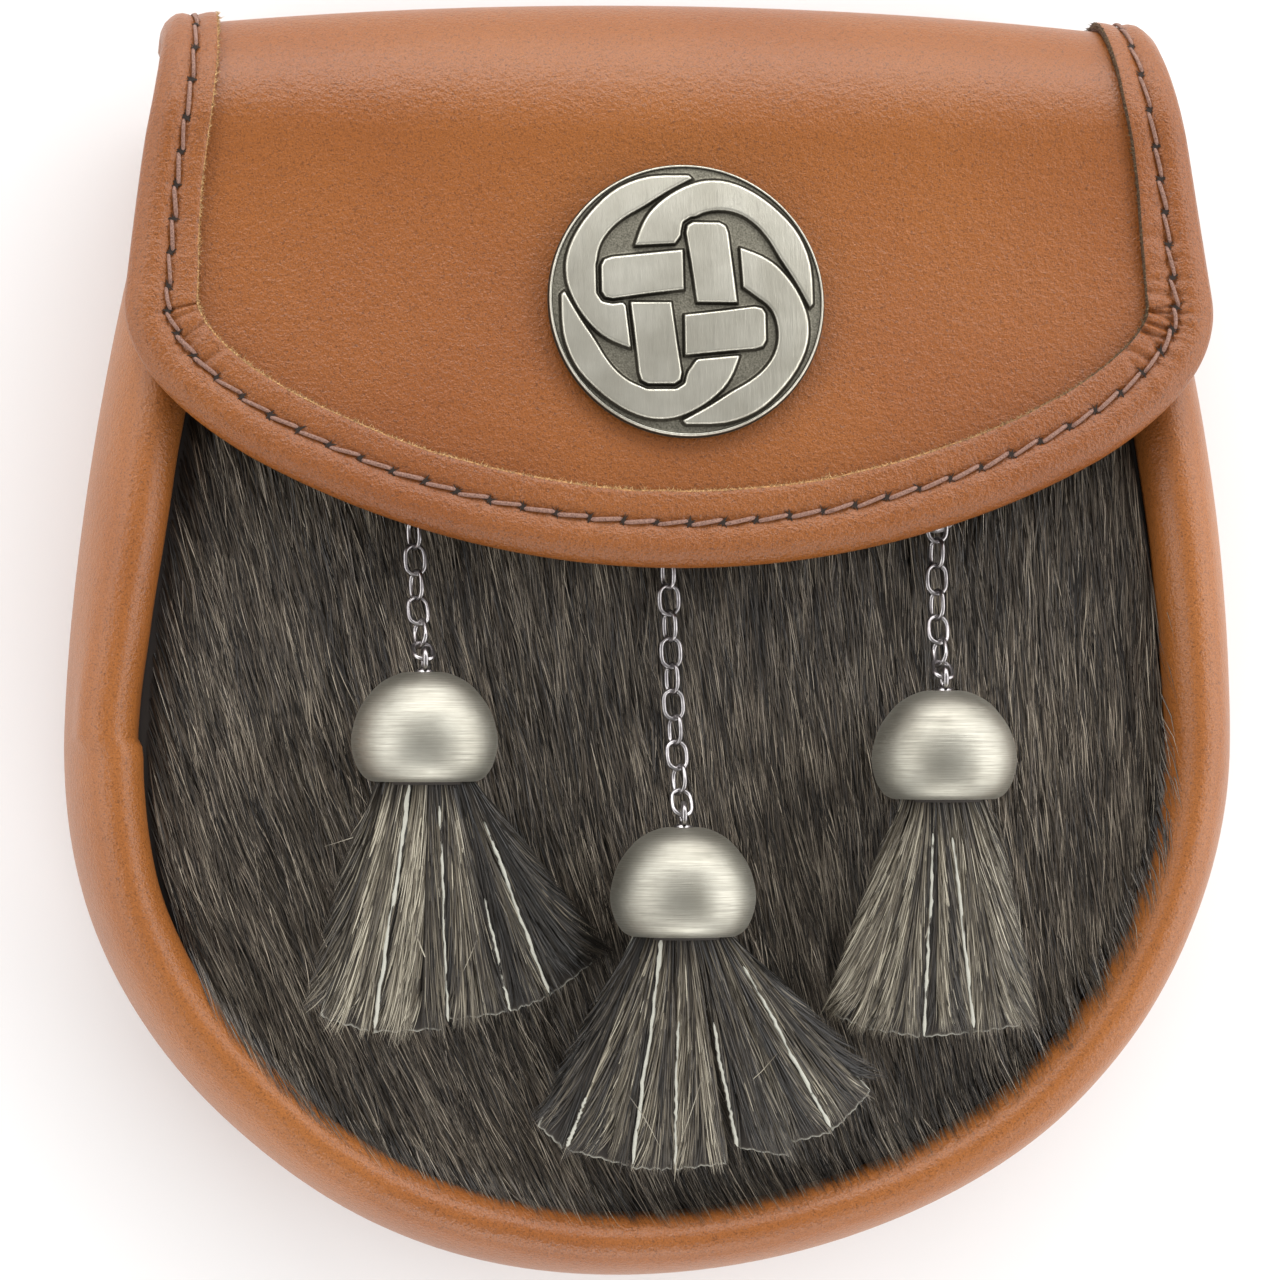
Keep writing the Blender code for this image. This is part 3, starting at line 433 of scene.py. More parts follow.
def leather(name, pale, dark, grain=LEATHER_GRAIN):
    """Smooth dyed leather: a fine mottle and pores over a slow drift of tone."""
    material, shader = new_material(name, LEATHER, LEATHER_ROUGHNESS)
    drift = noise(material, 22, 3.0)
    mottle = noise(material, 2600, 2.0, roughness=0.7)
    tone = ramp(material, drift, ((0.3, dark), (0.72, pale)))
    speck = ramp(material, mottle, ((0.30, (0.50, 0.46, 0.42)), (0.46, (1.0, 1.0, 1.0))))
    fleck = ramp(material, noise(material, 5200, 1.0), (
        (0.30, (0.80, 0.80, 0.80)), (0.70, (1.18, 1.18, 1.18))))
    tone = mix(material, 1.0, tone, fleck, "MULTIPLY")
    link(material, mix(material, 0.75, tone, speck, "MULTIPLY"), shader, "Base Color")
    pores = node(material, "ShaderNodeTexVoronoi", (
        ("Vector", place_on(material)), ("Scale", 1500.0)), feature="F1").outputs["Distance"]
    under = bump(material, shader, pores, grain)
    pebble = bump(material, shader, noise(material, 3800, 2.0), grain * 1.5, below=under)
    bump(material, shader, noise(material, 420, 3.0), grain * 2, below=pebble)
    shader.inputs["Specular IOR Level"].default_value = 0.5
    return material


def across_pouch(material, stops):
    """A tone that changes from the pouch's left side to its right."""
    place = node(material, "ShaderNodeSeparateXYZ", (("Vector", place_on(material)),)).outputs["X"]
    share = node(material, "ShaderNodeMapRange", (
        ("Value", place), ("From Min", -POUCH_WIDTH / 2), ("From Max", POUCH_WIDTH / 2)))
    return ramp(material, share.outputs["Result"], stops)


def raw_edge(name, pale):
    """The cut edge of the binding: fibrous and ochre, with painted shade that darkens it at the
    pouch's right side.
    """
    material, shader = new_material(name, pale, 0.8)
    grain = noise(material, 2600, 3.0)
    fibre = ramp(material, grain, ((0.35, (0.35, 0.30, 0.26)), (0.65, (1, 1, 1))))
    # Painted shade: the cut edge and its fibres grow darker towards the pouch's right side.
    shade_right = across_pouch(material, ((0.70, pale), (0.90, tuple(tone * PAINTED_SHADE_RIGHT for tone in pale))))
    link(material, mix(material, 1.0, shade_right, fibre, "MULTIPLY"), shader, "Base Color")
    bump(material, shader, fibre, 0.00015)
    return material


def thread_material():
    material, shader = new_material("thread", (0.22, 0.12, 0.09), 0.6)
    twist = noise(material, 4500, 1.0)
    link(material, ramp(material, twist, ((0.3, (0.13, 0.060, 0.040)), (0.7, (0.30, 0.165, 0.12)))),
         shader, "Base Color")
    bump(material, shader, twist, 0.0001)
    return material


def plain(name, colour, roughness):
    return new_material(name, colour, roughness)[0]


# Leather: gusset

GUSSET_STATIONS = (70, 150)
SECTION_STEPS = 5
# The roll's edge wanders a little, in two pitches of wave.
LONG_SWAY = 0.00022
LONG_SWAY_PITCH = 0.17
SHORT_SWAY = 0.00012
SHORT_SWAY_PITCH = 0.045


def gusset_points():
    """The roll's and the wall's outside: its section carried round the outline."""
    points, inward = outline(MOUTH_Y, *GUSSET_STATIONS)
    section = spline([(row["inward"], row["height"]) for row in GUSSET_SECTION], SECTION_STEPS)
    travel = np.concatenate([[0], np.cumsum(np.linalg.norm(np.diff(points, axis=0), axis=1))])
    sway = LONG_SWAY * waves(travel, 3, LONG_SWAY_PITCH)
    sway += SHORT_SWAY * waves(travel, 4, SHORT_SWAY_PITCH)
    width = roll_width_at(points[:, 1])[:, None]
    share, height = section[:, 0][None], section[:, 1][None]
    front = smoothstep((height - 0.5) / 0.4) * smoothstep(share / 0.25)
    reach = share * width + sway[:, None] * front
    reach = reach + left_pleat(points)[:, None] * front
    x = points[:, :1] + inward[:, :1] * reach
    y = points[:, 1:] + inward[:, 1:] * reach
    z = above_back(y, height)
    pull = np.maximum(0.0, (points[:, 1:] - BEND_Y) / (MOUTH_Y - BEND_Y)) ** 2
    middle = above_back(y, 0.5)
    z = z + pull * (BEND_CENTRE_Z + (z - middle) * (1 - MOUTH_GATHER) - z)
    return np.stack([x, y, z], axis=-1)


PLEAT_Y = -0.0135
PLEAT_DEPTH = 0.0011
PLEAT_FADE_ABOVE = 0.016
PLEAT_FADE_BELOW = 0.0012
PLEAT_LEFT_OF = -0.07


def left_pleat(points):
    """The small pleat in the left roll's inner edge, where the front narrows in one step."""
    above = points[:, 1] - PLEAT_Y
    fade = np.exp(-(above / np.where(above > 0, PLEAT_FADE_ABOVE, PLEAT_FADE_BELOW)) ** 2)
    return np.where(points[:, 0] < PLEAT_LEFT_OF, -PLEAT_DEPTH * fade, 0.0)


def make_gusset(material):
    points = gusset_points()
    rows, columns = points.shape[:2]
    mesh = quad_mesh("pouch_gusset", points, grid_quads(rows, columns))
    piece = add_piece("pouch_gusset", mesh, [material], "gusset")
    thicken(piece, GUSSET_WALL, -1)


# Leather: flap and its binding

def flap_bottom_y(x):
    return FLAP_BOTTOM_Y + BINDING_REACH + FLAP_BOTTOM_RADIUS - np.sqrt(
        FLAP_BOTTOM_RADIUS ** 2 - x ** 2)


def flap_rows(bend_steps, side_steps, corner_steps, bottom_steps):
    """Rows of the flap's leather from its tail to near its tip: y, z, half width."""
    top = FLAP_TOP_WIDTH / 2 - BINDING_REACH
    back = FLAP_BACK_WIDTH / 2 - BINDING_REACH
    widest = FLAP_WIDTH / 2 - BINDING_REACH
    rows = [(BEND_Y - TAIL_LENGTH, TAIL_Z, TAIL_WIDTH / 2)]
    for angle in np.linspace(-math.pi / 2, math.pi / 2, bend_steps + 1):
        narrow = 1 - smoothstep((angle + math.pi / 2) / (TAIL_TURN + math.pi / 2))
        half = back + (top - back) * (1 - math.cos(max(angle, 0.0)))
        rows.append((BEND_Y + BEND_REACH * math.cos(angle),
                     BEND_CENTRE_Z + BEND_HALF_DEPTH * math.sin(angle),
                     half + (TAIL_WIDTH / 2 - half) * narrow))
    for share in np.linspace(0, 1, side_steps + 1)[1:]:
        y = BEND_Y + (FLAP_WIDEST_Y - BEND_Y) * share
        rows.append((y, flap_front_z(y), top + (widest - top) * share ** FLAP_SPREAD))
    corner = np.array((widest + FLAP_FLARE, flap_bottom_y(widest)))
    start = np.array((widest, FLAP_WIDEST_Y))
    end = np.array((widest - FLAP_CORNER, flap_bottom_y(widest - FLAP_CORNER)))
    for t in np.linspace(0, 1, corner_steps + 1)[1:]:
        x, y = start * (1 - t) ** 2 + corner * 2 * t * (1 - t) + end * t ** 2
        rows.append((y, flap_front_z(y), x))
    for t in np.linspace(0, math.pi / 2, bottom_steps + 1)[1:-1]:
        x = end[0] * math.cos(t)
        rows.append((flap_bottom_y(x), flap_front_z(flap_bottom_y(x)), x))
    return np.array(rows)


def flap_places(rows, share):
    """Points of the flap's middle surface, by row and by share of the half width."""
    y, z, half = (rows[:, k:k + 1] for k in range(3))
    x = half * share
    bend = np.maximum(0.0, (y - BEND_Y) / BEND_REACH)
    front = np.where(z > BEND_CENTRE_Z, 1.0, 0.0)
    arch = TOP_ARCH * bend * (x / (FLAP_WIDTH / 2)) ** 2
    return np.stack([x, y - arch, z + crown_at(x) * (1 - bend) * front], axis=-1)


FLAP_ROWS = (44, 30, 14, 46)
FLAP_COLUMNS = 61


def make_flap(material):
    points = flap_places(flap_rows(*FLAP_ROWS), np.linspace(-1, 1, FLAP_COLUMNS)[None])
    count, columns = points.shape[:2]
    mesh = quad_mesh("flap_leather", points + (FLAP_X, 0, 0), grid_quads(count, columns))
    piece = add_piece("flap_leather", mesh, [material], "flap")
    thicken(piece, FLAP_WALL, 0)


def flap_edge(rows):
    """Stations along the bound edge from the left top round to the right: place, inward, normal."""
    start_z = BEND_CENTRE_Z + BEND_HALF_DEPTH * math.sin(BINDING_TURN) - GAP / 3
    bound = rows[rows[:, 1] > start_z]
    edge = flap_places(bound, np.array([[-1.0]]))[:, 0]
    inside = flap_places(bound, np.array([[-0.9]]))[:, 0]
    profile = np.gradient(bound[:, :2], axis=0)
    along = np.stack([np.zeros(len(bound)), profile[:, 0], profile[:, 1]], axis=1)
    normal = np.cross(along, inside - edge)
    tip_y = FLAP_BOTTOM_Y + BINDING_REACH
    tip = np.array([[0.0, tip_y, flap_front_z(tip_y) + crown_at(0.0)]])
    tip_normal = normal[-1:] * (0, 1, 1)
    places = np.concatenate([edge, tip, edge[::-1] * (-1, 1, 1)])
    normals = np.concatenate([normal, tip_normal, normal[::-1] * (-1, 1, 1)])
    normals /= np.linalg.norm(normals, axis=1, keepdims=True)
    tangent = np.gradient(places, axis=0)
    inward = np.cross(normals, tangent)
    inward /= np.linalg.norm(inward, axis=1, keepdims=True)
    return places, inward, normals


def resampled(places, inward, normals, pitch):
    """The same stations at an even pitch, with the length travelled to each."""
    travel = np.concatenate([[0], np.cumsum(np.linalg.norm(np.diff(places, axis=0), axis=1))])
    even = np.linspace(0, travel[-1], int(travel[-1] / pitch) + 1)
    def pick(rows):
        return np.stack([np.interp(even, travel, rows[:, k]) for k in range(3)], axis=1)
    return even, pick(places), pick(inward), pick(normals)


BINDING_ROWS = (60, 36, 26, 60)


def binding_stations(pitch):
    return resampled(*flap_edge(flap_rows(*BINDING_ROWS)), pitch)


def on_flap(places, inward, normals, reach, out):
    """Points this far inward from the edge and this far out from the flap's middle surface."""
    points = places + inward * reach
    flat = (places[:, 1] < BEND_Y)[:, None]
    follow = np.concatenate([points[:, :2], (flap_front_z(points[:, 1])
                                             + crown_at(points[:, 0]))[:, None]], axis=1)
    return np.where(flat, follow, points) + normals * out


# The binding in section: millimetres inward from the leather's edge, and out from its middle.
BINDING_FACE = table("inward out", (
    (9.75, 1.52), (9.80, 2.30), (9.55, 2.58), (8.80, 2.66), (7.40, 2.62), (6.20, 2.50),
    (5.45, 2.26), (5.05, 2.18), (4.65, 2.28), (3.80, 2.62), (2.60, 2.86), (1.30, 2.80),
    (0.10, 2.42), (-0.80, 1.72), (-1.35, 0.80), (-1.50, 0.00), (-1.35, -0.80), (-0.80, -1.72),
    (0.10, -2.42), (1.30, -2.70), (4.00, -2.70), (8.50, -2.70), (8.50, -1.50), (-0.30, -1.50),
    (-0.30, 1.50),
))
STITCH_LINE = 0.0050
STITCH_PITCH = 0.0048
STITCH_START = 0.0035
RAW_EDGE_FACES = 2
BINDING_PITCH = 0.0004
FINE_PITCH = 0.0002
HOLE_REACH = 0.00055
GROOVE_REACH = 0.0007
GROOVE_DEPTH = 0.00038
FOLD_START = 0.0012
FOLD_GROWTH = 0.004
FOLD_TWIST = 0.35
EDGE_SWAY = 0.00012
EDGE_SWAY_PITCH = 0.03
FACE_SWAY = 0.00008
FACE_SWAY_PITCH = 0.021
# Where the section's front, its folded front and its raw edge begin, and how low its front may lie.
FRONT_OUT = 0.0015
FOLDED_OUT = 0.002
RAW_REACH = 0.0095
LEAST_OUT = 0.00152
CORNER_DROP = 0.006
# Pleats across the binding's inner half: millimetres up from the corner, width and depth.
LEFT_FOLDS = table("before width depth", (
    (-8.6, 0.55, 0.40), (-5.2, 0.80, 0.34), (-3.6, 0.45, 0.42), (0.4, 0.70, 0.26),
    (2.6, 0.40, 0.50),
))
RIGHT_FOLDS = table("before width depth", (
    (-10.5, 0.80, 0.34), (-7.2, 0.60, 0.46), (-4.6, 0.70, 0.62), (-2.2, 0.50, 0.58),
    (-0.4, 0.55, 0.70), (1.5, 0.50, 0.66), (3.3, 0.55, 0.60), (5.2, 0.45, 0.52), (6.9, 0.50, 0.46),
    (9.1, 0.60, 0.36), (11.8, 0.60, 0.30), (15.0, 0.70, 0.24),
))


def binding_share(places):
    """How wide the strip is at each station, against its full width."""
    return np.interp(places[:, 1], [row["y"] for row in BINDING_TAPER],
                     [row["share"] for row in BINDING_TAPER])


def corner_place(travel, places):
    """Length travelled to the middle of the left and the right corner."""
    away = np.abs(places[:, 1] - (FLAP_WIDEST_Y - CORNER_DROP))
    return [travel[np.argmin(away + (places[:, 0] * side < 0))] for side in (-1, 1)]


def fold_depth(travel, places, reach):
    """Depth of the pleats at the corners, along the binding at this distance from its edge."""
    depth = np.zeros_like(travel)
    inner = smoothstep((reach - FOLD_START) / FOLD_GROWTH)
    corners = corner_place(travel, places)
    for corner, side, folds in zip(corners, (-1, 1), (LEFT_FOLDS, RIGHT_FOLDS)):
        for fold in folds:
            twist = FOLD_TWIST * math.sin(fold["before"]) * (reach - STITCH_LINE) * 1000
            off = (travel - corner) * side * 1000 - fold["before"] - twist
            depth -= fold["depth"] / 1000 * inner * np.exp(-(off / fold["width"]) ** 2)
    return depth


def make_binding(material, edge_material):
    travel, places, inward, normals = binding_stations(BINDING_PITCH)
    face = np.array([(row["inward"], row["out"]) for row in BINDING_FACE]) / 1000
    beat = (travel - STITCH_START) / STITCH_PITCH
    hole = np.exp(-((beat - np.round(beat)) * STITCH_PITCH / HOLE_REACH) ** 2)
    sway = EDGE_SWAY * waves(travel, 8, EDGE_SWAY_PITCH)
    share = binding_share(places)
    rings = []
    for reach, out in face:
        out_here = np.full_like(travel, out)
        if out > FOLDED_OUT:
            groove = GROOVE_DEPTH * math.exp(-((reach - STITCH_LINE) / GROOVE_REACH) ** 2)
            out_here += fold_depth(travel, places, reach) - groove * hole
            out_here += FACE_SWAY * waves(travel, 5, FACE_SWAY_PITCH)
        if out > FRONT_OUT:
            out_here = np.maximum(out_here, LEAST_OUT)
        near = reach * share if reach > BINDING_WALL else np.full_like(travel, reach)
        if reach > RAW_REACH:
            near = near + sway
        rings.append(on_flap(places, inward, normals, near[:, None], out_here[:, None]))
    grid = np.stack(rings, axis=1)
    count, columns = grid.shape[:2]
    quads = grid_quads(count, columns, around=True)
    points = grid.reshape(-1, 3) + (FLAP_X, 0, 0)
    mesh = quad_mesh("flap_edge_binding", points, quads)
    slots = np.zeros(len(quads), dtype=np.int32)
    slots[np.arange(len(quads)) % columns < RAW_EDGE_FACES] = 1
    add_piece("flap_edge_binding", mesh, [material, edge_material], "flap_binding")
    mesh.polygons.foreach_set("material_index", slots)
    fill_ends(mesh, columns)
    face_normals_out(mesh)


def tube_points(path, radii, sides):
    """Rings round a path of points, as a grid."""
    tangent = np.gradient(path, axis=0)
    tangent /= np.linalg.norm(tangent, axis=1, keepdims=True)
    side = np.cross(tangent, (0.0, 0.0, 1.0))
    side /= np.maximum(np.linalg.norm(side, axis=1, keepdims=True), 1e-9)
    up = np.cross(side, tangent)
    turn = turns(sides)
    ring = side[:, None] * np.cos(turn)[None, :, None] + up[:, None] * np.sin(turn)[None, :, None]
    return path[:, None] + ring * np.asarray(radii)[:, None, None]


def binding_spots(stations, at):
    """Places, inward directions and normals at these lengths travelled along the binding."""
    travel, *rows = stations
    return [np.stack([np.interp(at, travel, row[:, c]) for c in range(3)], axis=1) for row in rows]


def stitch_count(travel):
    return int((travel[-1] - 2 * STITCH_START) / STITCH_PITCH)


STITCH_SEED = 5
STITCH_STEPS = 13
STITCH_SIDES = 8
STITCH_ENDS = (0.04, 0.96)
STITCH_SLANT = (0.00018, 0.00042)
STITCH_RADIUS = (0.00027, 0.00032)
STITCH_LOW = 0.00222
STITCH_BOW = 0.00034
STITCH_DIP = 0.0006


def make_stitches(material):
    """Thread between the holes: each stitch rises out of one hole and goes down at the next."""
    stations = binding_stations(FINE_PITCH)
    draw = np.random.default_rng(STITCH_SEED)
    t = np.linspace(*STITCH_ENDS, STITCH_STEPS)
    ends = np.abs(t - 0.5) * 2
    rise = STITCH_LOW + STITCH_BOW * np.sin(np.pi * t) ** 0.6 - STITCH_DIP * ends ** 8
    tube = grid_quads(STITCH_STEPS, STITCH_SIDES, around=True)
    parts = []
    for k in range(stitch_count(stations[0])):
        slant = draw.uniform(*STITCH_SLANT) * (t - 0.5) * 2
        spot = binding_spots(stations, STITCH_START + (k + t) * STITCH_PITCH)
        line = STITCH_LINE * binding_share(spot[0]) + slant
        path = on_flap(*spot, line[:, None], rise[:, None])
        radii = draw.uniform(*STITCH_RADIUS) * (1 - 0.30 * ends ** 6)
        parts.append((tube_points(path, radii, STITCH_SIDES), tube))
    points, quads = joined(parts)
    mesh = quad_mesh("flap_stitches", points + (FLAP_X, 0, 0), quads)
    add_piece("flap_stitches", mesh, [material])


HOLE_SEED = 6
HOLE_OUT = 0.00212
HOLE_SPIKES = 7
SPIKE_TURN = 0.35
SPIKE_WIDTH = (0.00014, 0.00030)
SPIKE_LENGTH = (0.0005, 0.0012)
SPIKE_BACK = 0.0002
SPIKE_ROOT_RISE = 0.00022
SPIKE_TIP_RISE = 0.00028
SPIKE_TIP_SHARE = 0.1


def make_stitch_holes(material):
    """The holes that the thread is pulled into, as painted shade: dark flat spikes, short tears
    round each hole.
    """
    stations = binding_stations(FINE_PITCH)
    draw = np.random.default_rng(HOLE_SEED)
    at = STITCH_START + np.arange(stitch_count(stations[0]) + 1) * STITCH_PITCH
    spots = binding_spots(stations, at)
    line = STITCH_LINE * binding_share(spots[0])
    holes = on_flap(*spots, line[:, None], np.full((len(at), 1), HOLE_OUT))
    points = []
    for hole, inward, normal in zip(holes, *spots[1:]):
        along = np.cross(normal, inward)
        for turn in draw.uniform(-SPIKE_TURN, SPIKE_TURN, HOLE_SPIKES) + turns(HOLE_SPIKES):
            out = inward * math.cos(turn) + along * math.sin(turn)
            side = np.cross(normal, out) * draw.uniform(*SPIKE_WIDTH)
            tip = hole + out * draw.uniform(*SPIKE_LENGTH) + normal * SPIKE_TIP_RISE
            root = hole - out * SPIKE_BACK + normal * SPIKE_ROOT_RISE
            points += [root - side, root + side, tip + side * SPIKE_TIP_SHARE,
                       tip - side * SPIKE_TIP_SHARE]
    quads = np.arange(len(points)).reshape(-1, 4)
    mesh = quad_mesh("stitch_holes", np.array(points) + (FLAP_X, 0, 0), quads)
    add_piece("stitch_holes", mesh, [material])


EDGE_FIBRES = 2600
FIBRE_SEED = 7
FIBRE_MARGIN = 0.001
FIBRE_REACH = 0.0096
FIBRE_OUT = (0.0017, 0.0027)
FIBRE_LENGTH = (0.0002, 0.0006)
FIBRE_EXTRA = 0.0007
FIBRE_SPREAD = 1.4
FIBRE_RISE = (-0.2, 0.5)
FIBRE_WIDTH = 0.00013


def make_edge_fibres(material):
    """Short fibres that stand out of the binding's cut edge."""
    stations = binding_stations(FINE_PITCH)
    draw = np.random.default_rng(FIBRE_SEED)
    at = np.sort(draw.uniform(FIBRE_MARGIN, stations[0][-1] - FIBRE_MARGIN, EDGE_FIBRES))
    spots = binding_spots(stations, at)
    reach = FIBRE_REACH * binding_share(spots[0])
    start = on_flap(*spots, reach[:, None], draw.uniform(*FIBRE_OUT, EDGE_FIBRES)[:, None])
    along = np.cross(spots[2], spots[1])
    length = draw.uniform(*FIBRE_LENGTH, EDGE_FIBRES) + FIBRE_EXTRA * draw.random(EDGE_FIBRES) ** 9
    aside = draw.uniform(-FIBRE_SPREAD, FIBRE_SPREAD, EDGE_FIBRES)[:, None]
    rise = draw.uniform(*FIBRE_RISE, EDGE_FIBRES)[:, None]
    heading = spots[1] + along * aside + spots[2] * rise
    heading /= np.linalg.norm(heading, axis=1, keepdims=True)
    shares = np.linspace(0, 1, 3)
    paths = start[:, None] + heading[:, None] * (length[:, None] * shares)[..., None]
    widths = np.full((EDGE_FIBRES, 1), FIBRE_WIDTH) * (1.05 - shares)[None]
    points, quads = ribbons(paths, widths, draw.uniform(-1.0, 1.0, EDGE_FIBRES))
    mesh = quad_mesh("edge_fibres", points + (FLAP_X, 0, 0), quads)
    add_piece("edge_fibres", mesh, [material])


# Metal

def pewter(name, ground=False):
    """Brushed pewter. With ground it is oxidised dark where the piece is painted dark."""
    material, shader = new_material(name, (0.50, 0.49, 0.43), 0.34, 1.0)
    stretch = (9, 0.8, 0.8) if ground else (0.5, 24, 0.5)
    brush = noise(material, 260, 3.0, stretch=stretch, roughness=0.7)
    patch = noise(material, 130, 3.0)
    pale = 1.30 if ground else 0.86
    base = ramp(material, patch, ((0.35, (0.42 * pale, 0.40 * pale, 0.335 * pale)),
                                  (0.7, (0.56 * pale, 0.54 * pale, 0.465 * pale))))
    streak = ramp(material, brush, ((0.3, (0.66, 0.66, 0.66)), (0.62, (1.0, 1.0, 1.0))))
    colour = mix(material, 0.8, base, streak, "MULTIPLY")
    least = 0.32 if ground else 0.42
    rough = ramp(material, brush, ((0.3, (least + 0.16,) * 3), (0.7, (least,) * 3)))
    if ground:
        relief = node(material, "ShaderNodeVertexColor", layer_name="relief").outputs["Color"]
        shade = ramp(material, relief, ((0.68, (0, 0, 0)), (0.98, (1, 1, 1))))
        foot = ramp(material, relief, ((0.0, (1, 1, 1)), (0.14, (0.22, 0.21, 0.20))))
        grit = noise(material, 4200, 2.0)
        dark = ramp(material, grit, ((0.30, (0.11, 0.103, 0.080)), (0.75, (0.28, 0.262, 0.21))))
        dark = mix(material, 1.0, dark, foot, "MULTIPLY")
        colour = mix(material, shade, dark, colour)
        rough = mix(material, shade, (0.60, 0.60, 0.60), rough)
    link(material, colour, shader, "Base Color")
    link(material, rough, shader, "Roughness")
    bump(material, shader, brush, 0.00004)
    return material


def steel(name):
    material, shader = new_material(name, (0.50, 0.47, 0.46), 0.30, 1.0)
    wear = noise(material, 700, 2.0)
    link(material, ramp(material, wear, ((0.3, (0.25, 0.235, 0.24)), (0.7, (0.48, 0.455, 0.455)))),
         shader, "Base Color")
    return material


def cap_axis_z():
    return float(seam_z(WIDEST_Y)) + PANEL_DOME + PILE + GAP + CAP_DIAMETER / 2


def along_y(x, y, z):
    """A frame whose Z axis runs up the pouch, along Y."""
    return Matrix.Translation((x, y, z)) @ Matrix.Rotation(-math.pi / 2, 4, "X")


CAP_SIDES = 72
CAP_STEPS = 7
RING_STEPS = 32
LINK_STEPS = 30
WIRE_STEPS = 10
AXIS_GAP = 0.0001


def make_cap(tassel, material):
    radius = CAP_DIAMETER / 2
    rows = [(row["radius"] * radius, row["height"] * CAP_HEIGHT) for row in CAP_PROFILE]
    rows += [(0.34 * radius, CAP_HEIGHT * 0.985), (CAP_HOLE_RADIUS + 0.0003, CAP_HEIGHT)]
    outside = spline(rows, CAP_STEPS)
    inside = np.maximum(outside - (CAP_WALL, 0), (CAP_HOLE_RADIUS, 0))
    inside[:, 1] = np.minimum(inside[:, 1], CAP_HEIGHT - CAP_WALL)
    profile = np.concatenate([outside, [(CAP_HOLE_RADIUS, CAP_HEIGHT - 0.0002)], inside[::-1]])
    name = f"tassel_cap_{tassel['side']}"
    mesh = quad_mesh(name, lathed(profile, CAP_SIDES), lathed_quads(len(profile), CAP_SIDES))
    mesh.transform(along_y(tassel["mouth_x"], tassel["mouth_y"], cap_axis_z()))
    face_normals_out(mesh)
    add_piece(name, mesh, [material], f"bell_cap_{tassel['side']}")


def ring_points(length, width, wire, around):
    """An oval wire ring, its length along X, as a grid of points."""
    turn = turns(around)
    radius = width / 2 - wire
    centre = np.stack([radius * np.cos(turn) + (length - width) / 2 * np.tanh(4 * np.cos(turn)),
                       radius * np.sin(turn), np.zeros(around)], axis=1)
    tangent = np.roll(centre, -1, axis=0) - np.roll(centre, 1, axis=0)
    tangent /= np.linalg.norm(tangent, axis=1, keepdims=True)
    out = np.stack([tangent[:, 1], -tangent[:, 0], np.zeros(around)], axis=1)
    roll = turns(WIRE_STEPS)
    up = np.array((0.0, 0.0, 1.0))
    return (centre[:, None] + wire * (np.cos(roll)[None, :, None] * out[:, None]
                                      + np.sin(roll)[None, :, None] * up))


def ring_quads(around):
    row, step = np.meshgrid(np.arange(around), np.arange(WIRE_STEPS), indexing="ij")
    after, over = (step + 1) % WIRE_STEPS, (row + 1) % around
    return np.stack([row * WIRE_STEPS + step, row * WIRE_STEPS + after,
                     over * WIRE_STEPS + after, over * WIRE_STEPS + step],
                    axis=-1).reshape(-1, 4)


def placed(points, matrix):
    spin = np.array(matrix.to_3x3())
    return points.reshape(-1, 3) @ spin.T + np.array(matrix.translation)


def upright_ring(centre, radius, wire):
    """A round wire ring that stands across the pouch: points and quads."""
    across = 2 * (radius + wire)
    points = ring_points(across, across, wire, RING_STEPS)
    spin = Matrix.Rotation(math.pi / 2, 4, "Y")
    return placed(points, Matrix.Translation(centre) @ spin), ring_quads(RING_STEPS)


def link_pitch():
    return LINK_LENGTH - 2 * WIRE_RADIUS * (1 + math.cos(math.pi / WIRE_SIDES)) + LINK_FUSE


def chain_line(tassel):
    lowest = float(seam_z(WIDEST_Y)) + PANEL_DOME + PILE + GAP + LINK_WIDTH / 2
    highest = cap_axis_z()
    ring_y = tassel["mouth_y"] + CAP_HEIGHT + RING_RADIUS
    start_y = ring_y + RING_RADIUS - RING_WIRE_RADIUS - GAP - WIRE_RADIUS * 2
    places = [Vector((tassel["mouth_x"], start_y, highest))]
    for i in range(1, tassel["links"] + 1):
        share = 1 - i / tassel["links"]
        z = lowest + (highest - lowest) * share ** CHAIN_RISE_POWER
        aside = tassel["lean"] / tassel["links"]
        drop = places[-1].z - z
        y = places[-1].y + math.sqrt(link_pitch() ** 2 - drop ** 2 - aside ** 2)
        places.append(Vector((places[-1].x + aside, y, z)))
    return places


LINK_ROLLS = (math.radians(9), math.radians(27))


def make_chain(tassel, material):
    places = chain_line(tassel)
    ring = ring_points(LINK_LENGTH, LINK_WIDTH, WIRE_RADIUS, LINK_STEPS)
    parts = []
    for i, (low, high) in enumerate(zip(places, places[1:])):
        along = (high - low).normalized()
        flat = along.cross(Vector((0, 0, 1))).normalized()
        wide = along.cross(flat) if i % 2 else flat
        spin = Matrix((along, wide, along.cross(wide))).transposed().to_4x4()
        spin.translation = (low + high) / 2
        spin = spin @ Matrix.Rotation(LINK_ROLLS[i % 2], 4, "X")
        parts.append((placed(ring, spin), ring_quads(LINK_STEPS)))
    name = f"tassel_chain_{tassel['side']}"
    mesh = face_normals_out(quad_mesh(name, *joined(parts)))
    add_piece(name, mesh, [material], f"chain_{tassel['side']}")


